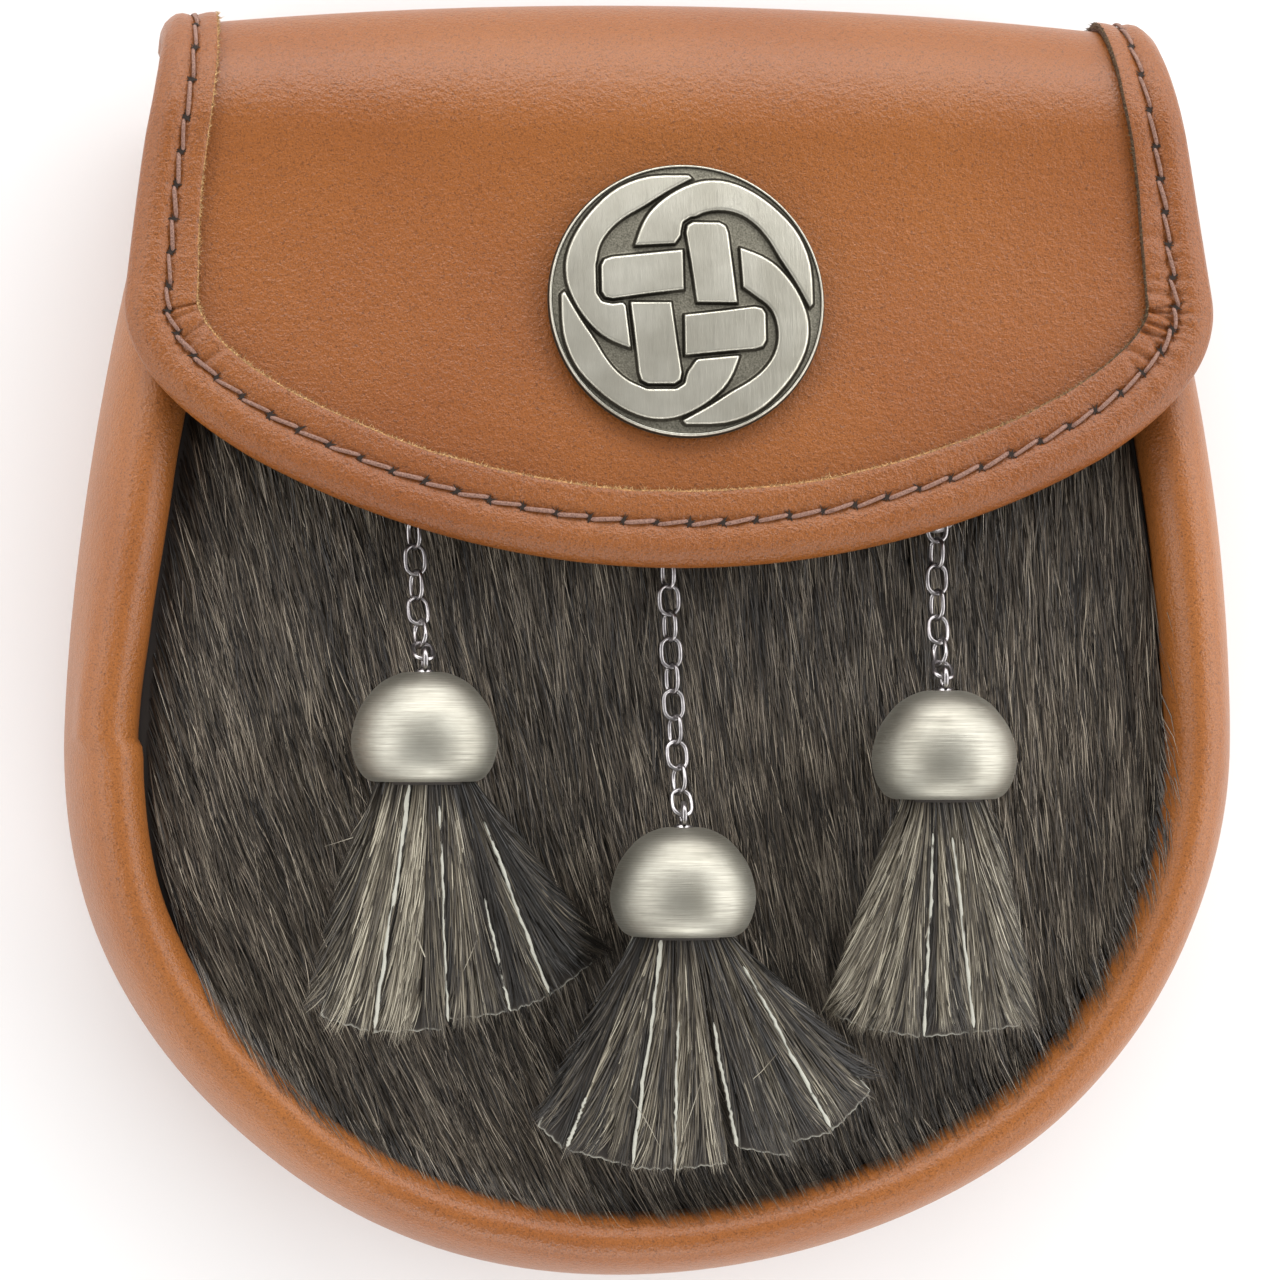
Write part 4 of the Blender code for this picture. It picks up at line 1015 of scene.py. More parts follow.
def make_eye(tassel, material):
    """The eye under the flap keeps the CAD model's plain form, with a round wire."""
    end = chain_line(tassel)[-1]
    plate_z = float(hide_z(end.x, end.y + EYE_RADIUS)) + PILE + GAP
    centre = Vector((end.x, end.y - 2 * WIRE_RADIUS - GAP - EYE_WIRE_RADIUS + EYE_RADIUS,
                     plate_z + EYE_PLATE / 2 + EYE_RADIUS))
    profile = np.array([(AXIS_GAP, 0.0), (EYE_PLATE_RADIUS, 0.0), (EYE_PLATE_RADIUS, EYE_PLATE),
                        (AXIS_GAP, EYE_PLATE)])
    plate = lathed(profile, RING_STEPS) + (centre.x, centre.y, plate_z)
    parts = [upright_ring(centre, EYE_RADIUS, EYE_WIRE_RADIUS),
             (plate, lathed_quads(len(profile), RING_STEPS))]
    name = f"eye_{tassel['side']}"
    mesh = face_normals_out(quad_mesh(name, *joined(parts)))
    add_piece(name, mesh, [material], f"chain_eye_{tassel['side']}")


PIN_END = 0.0005
PIN_CHAMFER = 0.0003
PIN_END_RADIUS = 0.0006


def make_pin(tassel, material):
    x, y, z = tassel["mouth_x"], tassel["mouth_y"], cap_axis_z()
    top = CAP_HEIGHT - CAP_WALL - GAP
    shank = CAP_HOLE_RADIUS - GAP
    end = CAP_HEIGHT + PIN_END
    profile = np.array([(AXIS_GAP, top - WASHER_THICKNESS), (WASHER_RADIUS, top - WASHER_THICKNESS),
                        (WASHER_RADIUS, top), (shank, top), (shank, end - PIN_CHAMFER),
                        (PIN_END_RADIUS, end), (AXIS_GAP, end)])
    body = placed(lathed(profile, RING_STEPS), along_y(x, y, z))
    centre = (x, y + CAP_HEIGHT + RING_RADIUS, z)
    parts = [(body, lathed_quads(len(profile), RING_STEPS)),
             upright_ring(centre, RING_RADIUS, RING_WIRE_RADIUS)]
    name = f"pin_{tassel['side']}"
    mesh = face_normals_out(quad_mesh(name, *joined(parts)))
    add_piece(name, mesh, [material], f"tassel_pin_{tassel['side']}")


# The knot in shares of the badge's radius: one arm's bar, and the band that sweeps on from it
# round the rim, as its outer and inner edge.
KNOT_BAR = table("along left right", (
    (0.00, -0.385, -0.092), (-0.30, -0.354, -0.056), (-0.51, -0.334, -0.026),
    (-0.565, -0.316, -0.038), (-0.59, -0.270, -0.078),
))
# The bars' crossing is cast a little off the badge's middle.
KNOT_BAR_SHIFT = (-0.03, -0.03)
KNOT_BAND = table("outer_x outer_y inner_x inner_y", (
    (-0.375, 0.385, -0.085, 0.400), (-0.318, 0.538, -0.030, 0.475), (-0.240, 0.655, 0.055, 0.585),
    (-0.110, 0.765, 0.150, 0.635), (0.030, 0.838, 0.280, 0.648), (0.160, 0.872, 0.405, 0.615),
    (0.320, 0.862, 0.515, 0.535), (0.500, 0.785, 0.600, 0.430), (0.680, 0.645, 0.676, 0.300),
    (0.820, 0.475, 0.772, 0.150), (0.900, 0.250, 0.850, 0.010), (0.910, -0.030, 0.884, -0.055),
))
BADGE_RINGS = 118
BADGE_STEPS = 416
BADGE_RIM = (0.965, 0.988)
BADGE_RIM_SOFT = 0.012
BADGE_RIM_HEIGHT = 0.45
BADGE_EDGE = 0.985
BADGE_EDGE_DROP = 0.0005
BADGE_GROUND_DROP = 0.0001
BADGE_UNDERSIDE = table("radius height", ((1.0, 0.5), (0.985, 0.0), (0.5, 0.0), (0.01, 0.0)))
BADGE_SIDE_SHADE = 0.6


def outline_away(points, corners):
    """How far outside a closed outline each point is, negative inside."""
    best = np.full(len(points), 9.0)
    inside = np.zeros(len(points), dtype=bool)
    for a, b in zip(corners, np.roll(corners, -1, axis=0)):
        span = b - a
        t = np.clip((points - a) @ span / (span @ span), 0, 1)
        best = np.minimum(best, np.linalg.norm(points - (a + t[:, None] * span), axis=1))
        crosses = (a[1] > points[:, 1]) != (b[1] > points[:, 1])
        with np.errstate(divide="ignore", invalid="ignore"):
            meets = a[0] + (points[:, 1] - a[1]) / (b[1] - a[1]) * span[0]
        inside ^= crosses & (points[:, 0] < meets)
    return np.where(inside, -best, best)


KNOT_SWELL = 0.023
KNOT_SHOULDER = 0.036
KNOT_GROOVE = 0.013


def knot_height(points):
    """Relief of the knot from 0 at the ground to 1, with a groove where pieces meet."""
    left = [(row["left"], row["along"]) for row in KNOT_BAR]
    right = [(row["right"], row["along"]) for row in KNOT_BAR]
    bar = np.array(left + right[::-1])
    outer = spline([(row["outer_x"], row["outer_y"]) for row in KNOT_BAND], 3)
    inner = spline([(row["inner_x"], row["inner_y"]) for row in KNOT_BAND], 3)
    band = np.concatenate([outer, inner[::-1]])
    height = np.zeros(len(points))
    for shape, shift in ((band, (0, 0)), (bar, KNOT_BAR_SHIFT)):
        layer, groove = np.zeros(len(points)), np.ones(len(points))
        for arm in range(4):
            turn = math.tau * arm / 4
            spin = np.array([[math.cos(turn), -math.sin(turn)], [math.sin(turn), math.cos(turn)]])
            away = outline_away((points - shift) @ spin.T, shape) - KNOT_SWELL
            layer = np.maximum(layer, smoothstep(-away / KNOT_SHOULDER))
            groove *= 1 - np.exp(-(np.maximum(away, 0) / KNOT_GROOVE) ** 2)
        height = np.maximum(height * groove, layer)
    return height


def badge_frame():
    step = BADGE_DIAMETER / 2
    rise = float(flap_front_z(BADGE_Y + step) - flap_front_z(BADGE_Y - step))
    tilt = math.atan2(rise, 2 * step)
    bow = max(float(flap_front_z(BADGE_Y + k * step / 4) - flap_front_z(BADGE_Y)) - rise * k / 8
              for k in range(-4, 5))
    lift = FLAP_WALL / 2 / math.cos(tilt) + GAP
    z = float(flap_front_z(BADGE_Y) + crown_at(BADGE_X - FLAP_X)) + lift + bow
    return Matrix.Translation((BADGE_X, BADGE_Y, z)) @ Matrix.Rotation(tilt, 4, "X")


def make_badge(material):
    radius = BADGE_DIAMETER / 2
    shares = np.linspace(0, 1, BADGE_RINGS + 1)[1:]
    turn = turns(BADGE_STEPS)
    flat = np.stack([shares[:, None] * np.cos(turn), shares[:, None] * np.sin(turn)], axis=-1)
    height = knot_height(flat.reshape(-1, 2)).reshape(flat.shape[:2])
    inner, outer = (smoothstep((shares - start) / BADGE_RIM_SOFT) for start in BADGE_RIM)
    rim = (inner * (1 - outer))[:, None]
    z = (BADGE_WALL + BADGE_DOME * (1 - shares ** 2) - BADGE_GROUND_DROP)[:, None]
    z = z + KNOT_RELIEF * np.maximum(height, BADGE_RIM_HEIGHT * rim)
    z -= (BADGE_EDGE_DROP * smoothstep((shares - BADGE_EDGE) / (1 - BADGE_EDGE)))[:, None]
    front = np.concatenate([flat * radius, z[..., None]], axis=-1)
    under = np.array([(row["radius"] * radius, row["height"] * BADGE_WALL)
                      for row in BADGE_UNDERSIDE])
    grid = np.concatenate([front, lathed(under, BADGE_STEPS)])
    mesh = quad_mesh("knot_badge", grid, grid_quads(len(grid), BADGE_STEPS, around=True))
    shade = np.full(grid.shape[:2], BADGE_SIDE_SHADE)
    shade[:len(shares)] = np.maximum(height, rim)
    paint(mesh, "relief", shade.ravel())
    fill_ends(mesh, BADGE_STEPS)
    mesh.transform(badge_frame())
    face_normals_out(mesh)
    add_piece("knot_badge", mesh, [material], "badge")


# Fur

# How far the hair leans to the right down the pouch, in degrees, at three places across.
FUR_LEAN = table("y left middle right", (
    (0.040, 12.0, 5.0, 1.0), (-0.010, 18.0, 9.0, 3.0), (-0.055, 26.0, 20.0, 9.0),
    (-0.080, 32.0, 30.0, 12.0),
))
FUR_LEAN_X = 0.070
FUR_UNDER_FLAP = 0.009
FUR_SEED = 40
FUR_PIECES = 3
FUR_HAIRS = 32000
HAIR_STEPS = 3
HAIR_LENGTHS = (0.0085, 0.0150)
HAIR_WIDTHS = (0.00009, 0.00019)
HAIR_ROLL = math.radians(38)
CLUMP_PITCH = 0.0023
CLUMP_PULL = 0.30
HIDE_STATIONS = (40, 120)
HIDE_TOP_STATIONS = 14
HIDE_RINGS = 26
HIDE_UNDER_ROLL = 0.0012
HIDE_LIFT = 0.0005
FIELD_CELL = 0.001
FIELD_REACH = 0.096
ROOT_TOP_Y = 0.055
ROOT_EDGE = 0.0004
HAIR_LEAN_SPREAD = 3.5
CLUMP_LEAN = 9
HAIR_CURL = 6
HAIR_LIFT = 0.0021
CLUMP_LIFT = 0.0007
HAIR_FLOOR = 0.0001
HAIR_OVER_ROLL = 0.0022
HAIR_THINNING = 0.0012
HAIR_TONE = 0.42
CLUMP_TONE = 0.30
HAIR_TONE_SPREAD = 0.27


def hide_edge(past):
    """The hide's closed outline this far past the roll's inner edge, with a straight top."""
    points, inward = outline(PANEL_TOP_Y, *HIDE_STATIONS)
    sides = points + inward * (roll_width_at(points[:, 1]) + past)[:, None]
    top = np.linspace(sides[-1], sides[0], HIDE_TOP_STATIONS)[1:-1]
    return np.concatenate([sides, top])


def edge_field():
    """Signed distance past the roll's inner edge on an even grid, positive over the roll."""
    steps = np.arange(-FIELD_REACH, FIELD_REACH + FIELD_CELL, FIELD_CELL)
    x, y = np.meshgrid(steps, steps, indexing="ij")
    edge = hide_edge(0.0)
    edge[edge[:, 1] > PANEL_TOP_Y - 0.001, 1] = MOUTH_Y
    return outline_away(np.stack([x.ravel(), y.ravel()], axis=1), edge).reshape(x.shape)


def sampled(field, x, y):
    """The field's value between its grid points."""
    column, row = (x + FIELD_REACH) / FIELD_CELL, (y + FIELD_REACH) / FIELD_CELL
    i = np.clip(column.astype(int), 0, field.shape[0] - 2)
    j = np.clip(row.astype(int), 0, field.shape[1] - 2)
    s, t = column - i, row - j
    return ((field[i, j] * (1 - s) + field[i + 1, j] * s) * (1 - t)
            + (field[i, j + 1] * (1 - s) + field[i + 1, j + 1] * s) * t)


def fur_lean(x, y):
    rows = FUR_LEAN[::-1]
    heights = [row["y"] for row in rows]
    left, middle, right = (np.interp(y, heights, [row[key] for row in rows])
                           for key in ("left", "middle", "right"))
    aside = np.clip(x / FUR_LEAN_X, -1, 1)
    lean = np.where(aside < 0, middle + (left - middle) * -aside, middle + (right - middle) * aside)
    return np.radians(lean)


def floor_z(x, y, past):
    """Surface under the hair: the hide, or the roll where the hair reaches over it."""
    share = np.clip(1 - past / roll_width_at(y), 0.3, 1.0)
    rows = GUSSET_SECTION[:5][::-1]
    height = np.interp(share, [row["inward"] for row in rows], [row["height"] for row in rows])
    return np.where(past > 0, above_back(y, height) + HAIR_FLOOR, hide_z(x, y))


def ribbons(paths, widths, roll):
    """Flat hairs along paths, each turned about its own line: points and quads."""
    hairs, steps = paths.shape[:2]
    tangent = np.gradient(paths, axis=1)
    tangent /= np.linalg.norm(tangent, axis=2, keepdims=True)
    side = np.cross(tangent, (0.0, 0.0, 1.0))
    side /= np.maximum(np.linalg.norm(side, axis=2, keepdims=True), 1e-9)
    up = np.cross(side, tangent)
    across = side * np.cos(roll)[:, None, None] + up * np.sin(roll)[:, None, None]
    half = widths[..., None] / 2
    points = np.stack([paths - across * half, paths + across * half], axis=2).reshape(-1, 3)
    hair, step = np.meshgrid(np.arange(hairs), np.arange(steps - 1), indexing="ij")
    first = (hair * steps + step) * 2
    quads = np.stack([first, first + 1, first + 3, first + 2], axis=-1).reshape(-1, 4)
    return points, quads


def hair_widths(draw, count, shares):
    width = draw.uniform(*HAIR_WIDTHS, count)[:, None]
    return width * np.clip(1.05 - shares ** 3, 0.12, 1.0)[None]


def clump_centres(x, y):
    """Each hair's clump: the jittered centre of its grid cell, and a draw of numbers for it."""
    cell_x, cell_y = np.floor(x / CLUMP_PITCH), np.floor(y / (2 * CLUMP_PITCH))
    key = (cell_x * 92821 + cell_y * 68917 + 1299721).astype(np.int64)
    chance = [np.mod(np.sin(key * k) * 43758.5453, 1.0) for k in (0.917, 1.713, 2.391, 3.157)]
    return (cell_x + 0.2 + 0.6 * chance[0]) * CLUMP_PITCH, chance


def lay_hair(draw, field, count):
    """Paths of hairs rooted on the hide, as they lie down the pouch, and each hair's tone."""
    x = draw.uniform(-POUCH_WIDTH / 2, POUCH_WIDTH / 2, 3 * count)
    top = flap_bottom_y(x - FLAP_X) + FUR_UNDER_FLAP
    y = draw.uniform(-POUCH_LENGTH / 2, ROOT_TOP_Y, 3 * count)
    kept = np.flatnonzero((sampled(field, x, y) < -ROOT_EDGE) & (y < top))[:count]
    x, y = x[kept], y[kept]
    count = len(kept)
    centre_x, chance = clump_centres(x, y)
    length = draw.uniform(*HAIR_LENGTHS, count)
    spread = draw.normal(0, HAIR_LEAN_SPREAD, count) + CLUMP_LEAN * (chance[1] - 0.5)
    angle = fur_lean(x, y) + np.radians(spread)
    curl = np.radians(draw.normal(0, HAIR_CURL, count))
    layer = draw.uniform(0.25, 1.0, count) ** 0.7
    lift = layer * (HAIR_LIFT + CLUMP_LIFT * (chance[2] - 0.5))
    shares = np.linspace(0, 1, HAIR_STEPS + 1)
    paths = np.empty((count, HAIR_STEPS + 1, 3))
    paths[:, 0, 0], paths[:, 0, 1] = x, y
    pull = (centre_x - x) * CLUMP_PULL
    for k in range(1, HAIR_STEPS + 1):
        heading = angle + curl * (shares[k] - 0.5)
        step = length / HAIR_STEPS
        paths[:, k, 0] = paths[:, k - 1, 0] + np.sin(heading) * step + pull / HAIR_STEPS
        paths[:, k, 1] = paths[:, k - 1, 1] - np.cos(heading) * step
    past = sampled(field, paths[..., 0], paths[..., 1])
    ground = floor_z(paths[..., 0], paths[..., 1], past)
    rise = 1 - (1 - shares) ** 2.6
    thin = np.where(past > 0, np.exp(-past / HAIR_THINNING), 1.0)
    paths[..., 2] = ground + HAIR_FLOOR + lift[:, None] * rise[None] * thin
    fits = past[:, -1] < HAIR_OVER_ROLL
    tone = HAIR_TONE + CLUMP_TONE * (chance[3] - 0.5) + draw.normal(0, HAIR_TONE_SPREAD, count)
    # Painted shade: hairs that lie lower in the pile, under others, are darker.
    tone = np.clip(tone, 0.02, 1.0) * (0.55 + 0.45 * layer)
    return paths[fits], tone[fits]


def hair_piece(name, paths, tone, draw, material):
    shares = np.linspace(0, 1, paths.shape[1])
    points, quads = ribbons(paths, hair_widths(draw, len(paths), shares),
                            draw.uniform(-HAIR_ROLL, HAIR_ROLL, len(paths)))
    mesh = quad_mesh(name, points, quads)
    # Painted shade: each hair is darker towards its root, where it lies under the others.
    shade = tone[:, None] * (0.45 + 0.55 * smoothstep(shares / 0.5))[None]
    paint(mesh, "tone", np.repeat(shade.ravel(), 2))
    add_piece(name, mesh, [material])


def hair_material(name, stops, roughness=0.42):
    material, shader = new_material(name, (0.05, 0.04, 0.035), roughness)
    tone = node(material, "ShaderNodeVertexColor", layer_name="tone").outputs["Color"]
    link(material, ramp(material, tone, stops), shader, "Base Color")
    shader.inputs["Specular IOR Level"].default_value = 0.45
    return material


def make_fur(material):
    field = edge_field()
    for k in range(FUR_PIECES):
        draw = np.random.default_rng(FUR_SEED + k)
        paths, tone = lay_hair(draw, field, FUR_HAIRS)
        hair_piece(f"fur_hair_{k + 1}", paths, tone, draw, material)


def make_hide(material):
    """The hide under the hair keeps the front panel's form."""
    centre = np.array((0.0, PANEL_CENTRE_Y))
    rim = hide_edge(-GUSSET_WALL - PANEL_TUCK)
    shore = hide_edge(GAP)
    rings = []
    for share in (0.02, 0.5, 1.0):
        ring = centre + (rim - centre) * share
        rings.append(np.column_stack([ring, hide_z(ring[:, 0], ring[:, 1]) - HIDE_WALL]))
    for ring in (rim, shore):
        rings.append(np.column_stack([ring, hide_z(ring[:, 0], ring[:, 1])]))
    front = hide_edge(HIDE_UNDER_ROLL)
    for share in np.linspace(0.985, 0.01, HIDE_RINGS):
        ring = centre + (front - centre) * share
        rings.append(np.column_stack([ring, hide_z(ring[:, 0], ring[:, 1]) + HIDE_LIFT]))
    grid = np.stack(rings)
    rows, columns = grid.shape[:2]
    mesh = quad_mesh("fur_hide", grid, grid_quads(rows, columns, around=True))
    fill_ends(mesh, columns)
    face_normals_out(mesh)
    add_piece("fur_hide", mesh, [material], "fur_panel")


# Fringes

# Their strips from left to right, in millimetres from the middle of the cap's mouth: the roots'
# left and right ends, then the lower end's left and right corners. Tone is how pale the hair is,
# edge how broad the pale cut edge is, and edge_from where it begins along the strip.
STRIP_COLUMNS = "root_left root_right left_x left_y right_x right_y tone edge edge_from"
FRINGE_STRIPS = {
    "left": table(STRIP_COLUMNS, (
        (-6.8, -2.5, -14.0, -32.2, -6.9, -34.5, 0.56, 0.00, 0.00),
        (-2.5, 1.3, -6.8, -34.5, 3.3, -34.1, 0.50, 1.00, 0.00),
        (1.3, 4.2, 3.4, -32.9, 12.1, -31.9, 0.42, 0.40, 0.10),
        (4.2, 5.7, 12.1, -31.9, 17.6, -29.8, 0.30, 0.35, 0.50),
        (5.7, 6.7, 17.6, -29.8, 24.1, -24.8, 0.26, 0.85, 0.18),
    )),
    "middle": table(STRIP_COLUMNS, (
        (-7.0, -5.3, -19.5, -26.1, -15.9, -29.4, 0.34, 0.00, 0.00),
        (-5.3, -3.5, -15.9, -29.4, -6.7, -31.9, 0.46, 0.60, 0.75),
        (-3.5, -1.4, -6.7, -32.1, -0.7, -32.4, 0.58, 1.00, 0.00),
        (-1.4, 0.9, -0.7, -32.4, 6.9, -31.6, 0.48, 0.45, 0.35),
        (0.9, 4.0, 8.0, -29.4, 15.7, -30.8, 0.44, 0.70, 0.40),
        (4.0, 5.6, 15.7, -28.8, 21.4, -27.5, 0.34, 0.00, 0.00),
        (5.6, 6.6, 21.4, -27.5, 27.1, -21.6, 0.28, 0.90, 0.15),
    )),
    "right": table(STRIP_COLUMNS, (
        (-6.2, -4.0, -14.5, -30.0, -9.8, -31.9, 0.42, 0.00, 0.00),
        (-4.0, -2.2, -9.8, -31.9, -2.3, -33.1, 0.50, 0.00, 0.00),
        (-2.2, -0.5, -2.3, -33.1, 4.6, -32.6, 0.44, 0.70, 0.14),
        (-0.5, 5.2, 4.8, -32.6, 11.9, -31.5, 0.52, 0.75, 0.16),
    )),
}
FRINGE_DROOP = 0.0052
FRINGE_DROOP_POWER = 1.5
FRINGE_CROWN = 0.0007
FRINGE_HIDE = 0.0012
FRINGE_HAIRS = 6200
FRINGE_CLUMPS = 5
FRINGE_CLUMP_WIDTH = 8
FRINGE_TUCK = 0.07
FRINGE_STEPS = 3
FRINGE_SPLAY = 0.85
FRINGE_SLANT = 0.32
FRINGE_LEAN_WIDTH = 4.0
FRINGE_STRAY = 0.35
FRINGE_COLUMNS = 17
FRINGE_BOW = 0.0035
FRINGE_BOW_WIDTH = 8.0
FRINGE_HEAD = (-0.0004, 0.0086)
FRINGE_HEAD_SIDES = 28
CUT_STATIONS = 34
CUT_SIDES = 6
CUT_LIFT = 0.0011
STRAY_HAIRS = 5
STRIP_ROWS = 14
STRIP_TIP = 0.985
STRIP_SIDES = (0.03, 0.97)
STRIP_RAGGED = 0.008
# Shades of a strip's hide: its face, its cut sides, its lower end, and the head in the cap.
STRIP_FACE, STRIP_SIDE, STRIP_END, HEAD_SHADE = 0.10, 0.95, 0.8, 0.06
# How much a lock's hairs share: their slant across, their tone, and where they end.
LOCK_LEAN = 0.16
LOCK_TONE = 0.30
LOCK_END = 0.018
# Each hair by itself: where it starts and how long it is, in shares of the strip's length.
FRINGE_START = (-0.05, 0.86)
FRINGE_LENGTH = (0.22, 0.44)
FRINGE_LEAN_SPREAD = 0.07
FRINGE_TONE_SPREAD = 0.17
FRINGE_LIFT = 0.0011
FRINGE_SEED = 60
FRINGE_HAIR_SEED = 70


def fringe_place(tassel, strip, across, along):
    """A point on a strip's hide: across from 0 to 1, and along from 0 at the mouth to 1."""
    root = strip["root_left"] + (strip["root_right"] - strip["root_left"]) * across
    end_x = strip["left_x"] + (strip["right_x"] - strip["left_x"]) * across
    end_y = strip["left_y"] + (strip["right_y"] - strip["left_y"]) * across
    x = tassel["mouth_x"] + (root + (end_x - root) * along) / 1000
    y = tassel["mouth_y"] + end_y * along / 1000
    reach = np.maximum(along, 0.0) ** FRINGE_DROOP_POWER
    bow = FRINGE_BOW * (1 - (root / FRINGE_BOW_WIDTH) ** 2) * (1 - np.clip(along, 0, 1))
    z = (cap_axis_z() - FRINGE_DROOP * reach + bow
         + FRINGE_CROWN * (1 - (2 * across - 1) ** 2) * np.clip(along * 3, 0, 1))
    return np.stack(np.broadcast_arrays(x, y, z), axis=-1)


def strip_shell(tassel, strip):
    """One strip of hide with its thickness: points, quads and a shade, pale at the cut edges."""
    along = np.append(np.linspace(-FRINGE_TUCK, STRIP_TIP, STRIP_ROWS), 1.0)[:, None]
    across = np.linspace(*STRIP_SIDES, FRINGE_COLUMNS)[None]
    ragged = waves(across[0] * 3.1 + strip["tone"] * 7, 12, 0.9) * STRIP_RAGGED
    top = fringe_place(tassel, strip, across, along + np.where(along > 0.9, ragged, 0.0))
    bottom = top[:, ::-1] - (0, 0, FRINGE_HIDE)
    grid = np.concatenate([top, bottom], axis=1)
    rows, columns = grid.shape[:2]
    shade = np.full((rows, columns), STRIP_FACE)
    last = FRINGE_COLUMNS - 1
    shade[:, [0, last, last + 1, 2 * last + 1]] = STRIP_SIDE
    shade[-1] = STRIP_END
    return grid, grid_quads(rows, columns, around=True), shade.ravel()


def cut_edge(tassel, strip, draw):
    """The pale, torn fibres along a strip's left edge."""
    along = np.linspace(strip["edge_from"], draw.uniform(0.97, 1.01), CUT_STATIONS)
    path = fringe_place(tassel, strip, np.full(CUT_STATIONS, 0.02), along)
    path[:, 0] += 0.00005 * draw.normal(0, 1, CUT_STATIONS) + 0.00015 * waves(along, 9, 0.8)
    path[:, 2] += CUT_LIFT + 0.0002 * waves(along, 10, 0.3)
    radii = (0.00020 + 0.00016 * draw.random(CUT_STATIONS)) * (0.5 + 0.5 * strip["edge"])
    radii[[0, -1]] = 0.00006
    return (tube_points(path, radii, CUT_SIDES), grid_quads(CUT_STATIONS, CUT_SIDES, around=True),
            np.ones(CUT_STATIONS * CUT_SIDES))


def fringe_head(tassel):
    """The rolled head of the fringe inside the cap."""
    low, high = FRINGE_HEAD
    profile = np.array([(2 * AXIS_GAP, low), (HEAD_RADIUS, low), (HEAD_RADIUS, high),
                        (2 * AXIS_GAP, high)])
    body = lathed(profile, FRINGE_HEAD_SIDES)
    points = placed(body, along_y(tassel["mouth_x"], tassel["mouth_y"], cap_axis_z()))
    return (points, grid_quads(len(profile), FRINGE_HEAD_SIDES, around=True),
            np.full(len(points), HEAD_SHADE))


def make_fringe(tassel, material, seed):
    draw = np.random.default_rng(seed)
    parts = [fringe_head(tassel)]
    for strip in FRINGE_STRIPS[tassel["side"]]:
        parts.append(strip_shell(tassel, strip))
        if strip["edge"]:
            parts.append(cut_edge(tassel, strip, draw))
    name = f"tassel_fringe_{tassel['side']}"
    mesh = quad_mesh(name, *joined([part[:2] for part in parts]))
    paint(mesh, "tone", np.concatenate([part[2] for part in parts]))
    face_normals_out(mesh)
    add_piece(name, mesh, [material], f"fringe_{tassel['side']}")


def strip_width(strip):
    return math.hypot(strip["right_x"] - strip["left_x"], strip["right_y"] - strip["left_y"])


def strip_hair(tassel, strip, count, aside, covered, draw):
    """Paths and tones of the hairs on one strip. Aside is its place in the fringe from -1 to 1,
    and covered says that the next strip's cut edge lies over it."""
    width = strip_width(strip)
    shares = np.linspace(0, 1, FRINGE_STEPS + 1)
    clumps = max(2, round(FRINGE_CLUMPS * width / FRINGE_CLUMP_WIDTH))
    across = draw.uniform(0.02, 0.98, count)
    clump = np.minimum((across * clumps).astype(int), clumps - 1)
    clump_lean = draw.normal(0, LOCK_LEAN, clumps)[clump]
    clump_tone = draw.uniform(-LOCK_TONE, LOCK_TONE, clumps)[clump]
    clump_end = draw.normal(0, LOCK_END, clumps)[clump]
    start = draw.uniform(*FRINGE_START, count)
    length = draw.uniform(*FRINGE_LENGTH, count)
    end = np.minimum(start + length, 1.0 + clump_end + draw.normal(0, 0.022, count))
    along = start[:, None] + (end - start)[:, None] * shares
    lean = FRINGE_SPLAY * (across - 0.5) + FRINGE_SLANT * aside + clump_lean
    lean = (lean + draw.normal(0, FRINGE_LEAN_SPREAD, count)) * FRINGE_LEAN_WIDTH / width
    least = 0.02 if strip["edge"] else -FRINGE_STRAY
    most = 1.0 if covered else 1 + FRINGE_STRAY
    spot = np.clip(across[:, None] + lean[:, None] * shares ** 1.3, least, most)
    path = fringe_place(tassel, strip, spot, along)
    layer = draw.uniform(0.2, 1.0, count)
    arc = np.sin(np.pi * (0.15 + 0.7 * shares))
    path[..., 2] += 0.0002 + FRINGE_LIFT * layer[:, None] * arc
    tone = strip["tone"] + clump_tone + draw.normal(0, FRINGE_TONE_SPREAD, count)
    # Painted shade: hairs that lie lower on the strip, under others, are darker.
    return path, np.clip(tone, 0.02, 1.0) * (0.55 + 0.45 * layer)


def stray_hair(tassel, draw):
    """Paths of the few loose hairs that cross the fringe."""
    def drawn(low, high):
        return draw.uniform(low, high, STRAY_HAIRS)[:, None]
    shares = np.linspace(0, 1, FRINGE_STEPS + 1)
    heading = draw.normal(0.1, 0.55, STRAY_HAIRS)[:, None]
    heading = heading + draw.normal(0, 0.12, STRAY_HAIRS)[:, None] * shares
    run = shares * drawn(0.006, 0.012)
    x = tassel["mouth_x"] + drawn(-0.008, 0.014) + np.sin(heading) * run
    y = tassel["mouth_y"] - drawn(0.004, 0.022) - np.cos(heading) * run
    z = np.broadcast_to(cap_axis_z() + 0.0022 - 0.0045 * shares, x.shape)
    return np.stack([x, y, z], axis=-1)


def make_fringe_hair(tassel, material, seed):
    draw = np.random.default_rng(seed)
    strips = FRINGE_STRIPS[tassel["side"]]
    total = sum(strip_width(strip) for strip in strips)
    counts = [int(FRINGE_HAIRS * strip_width(strip) / total) for strip in strips]
    asides = np.linspace(-1, 1, len(strips))
    covered = [strip["edge"] > 0 for strip in strips[1:]] + [False]
    laid = [strip_hair(tassel, *row, draw) for row in zip(strips, counts, asides, covered)]
    paths = [path for path, _ in laid] + [stray_hair(tassel, draw)]
    tones = [tone for _, tone in laid] + [draw.uniform(0.5, 0.95, STRAY_HAIRS)]
    hair_piece(f"tassel_hair_{tassel['side']}", np.concatenate(paths), np.concatenate(tones),
               draw, material)


# Studio

CAMERA_TILT = math.radians(7.5)
CAMERA_REACH = 0.982
CAMERA_LENS = 196.9
CAMERA_AIM = Vector((-0.0012, -0.00035, 0.018))


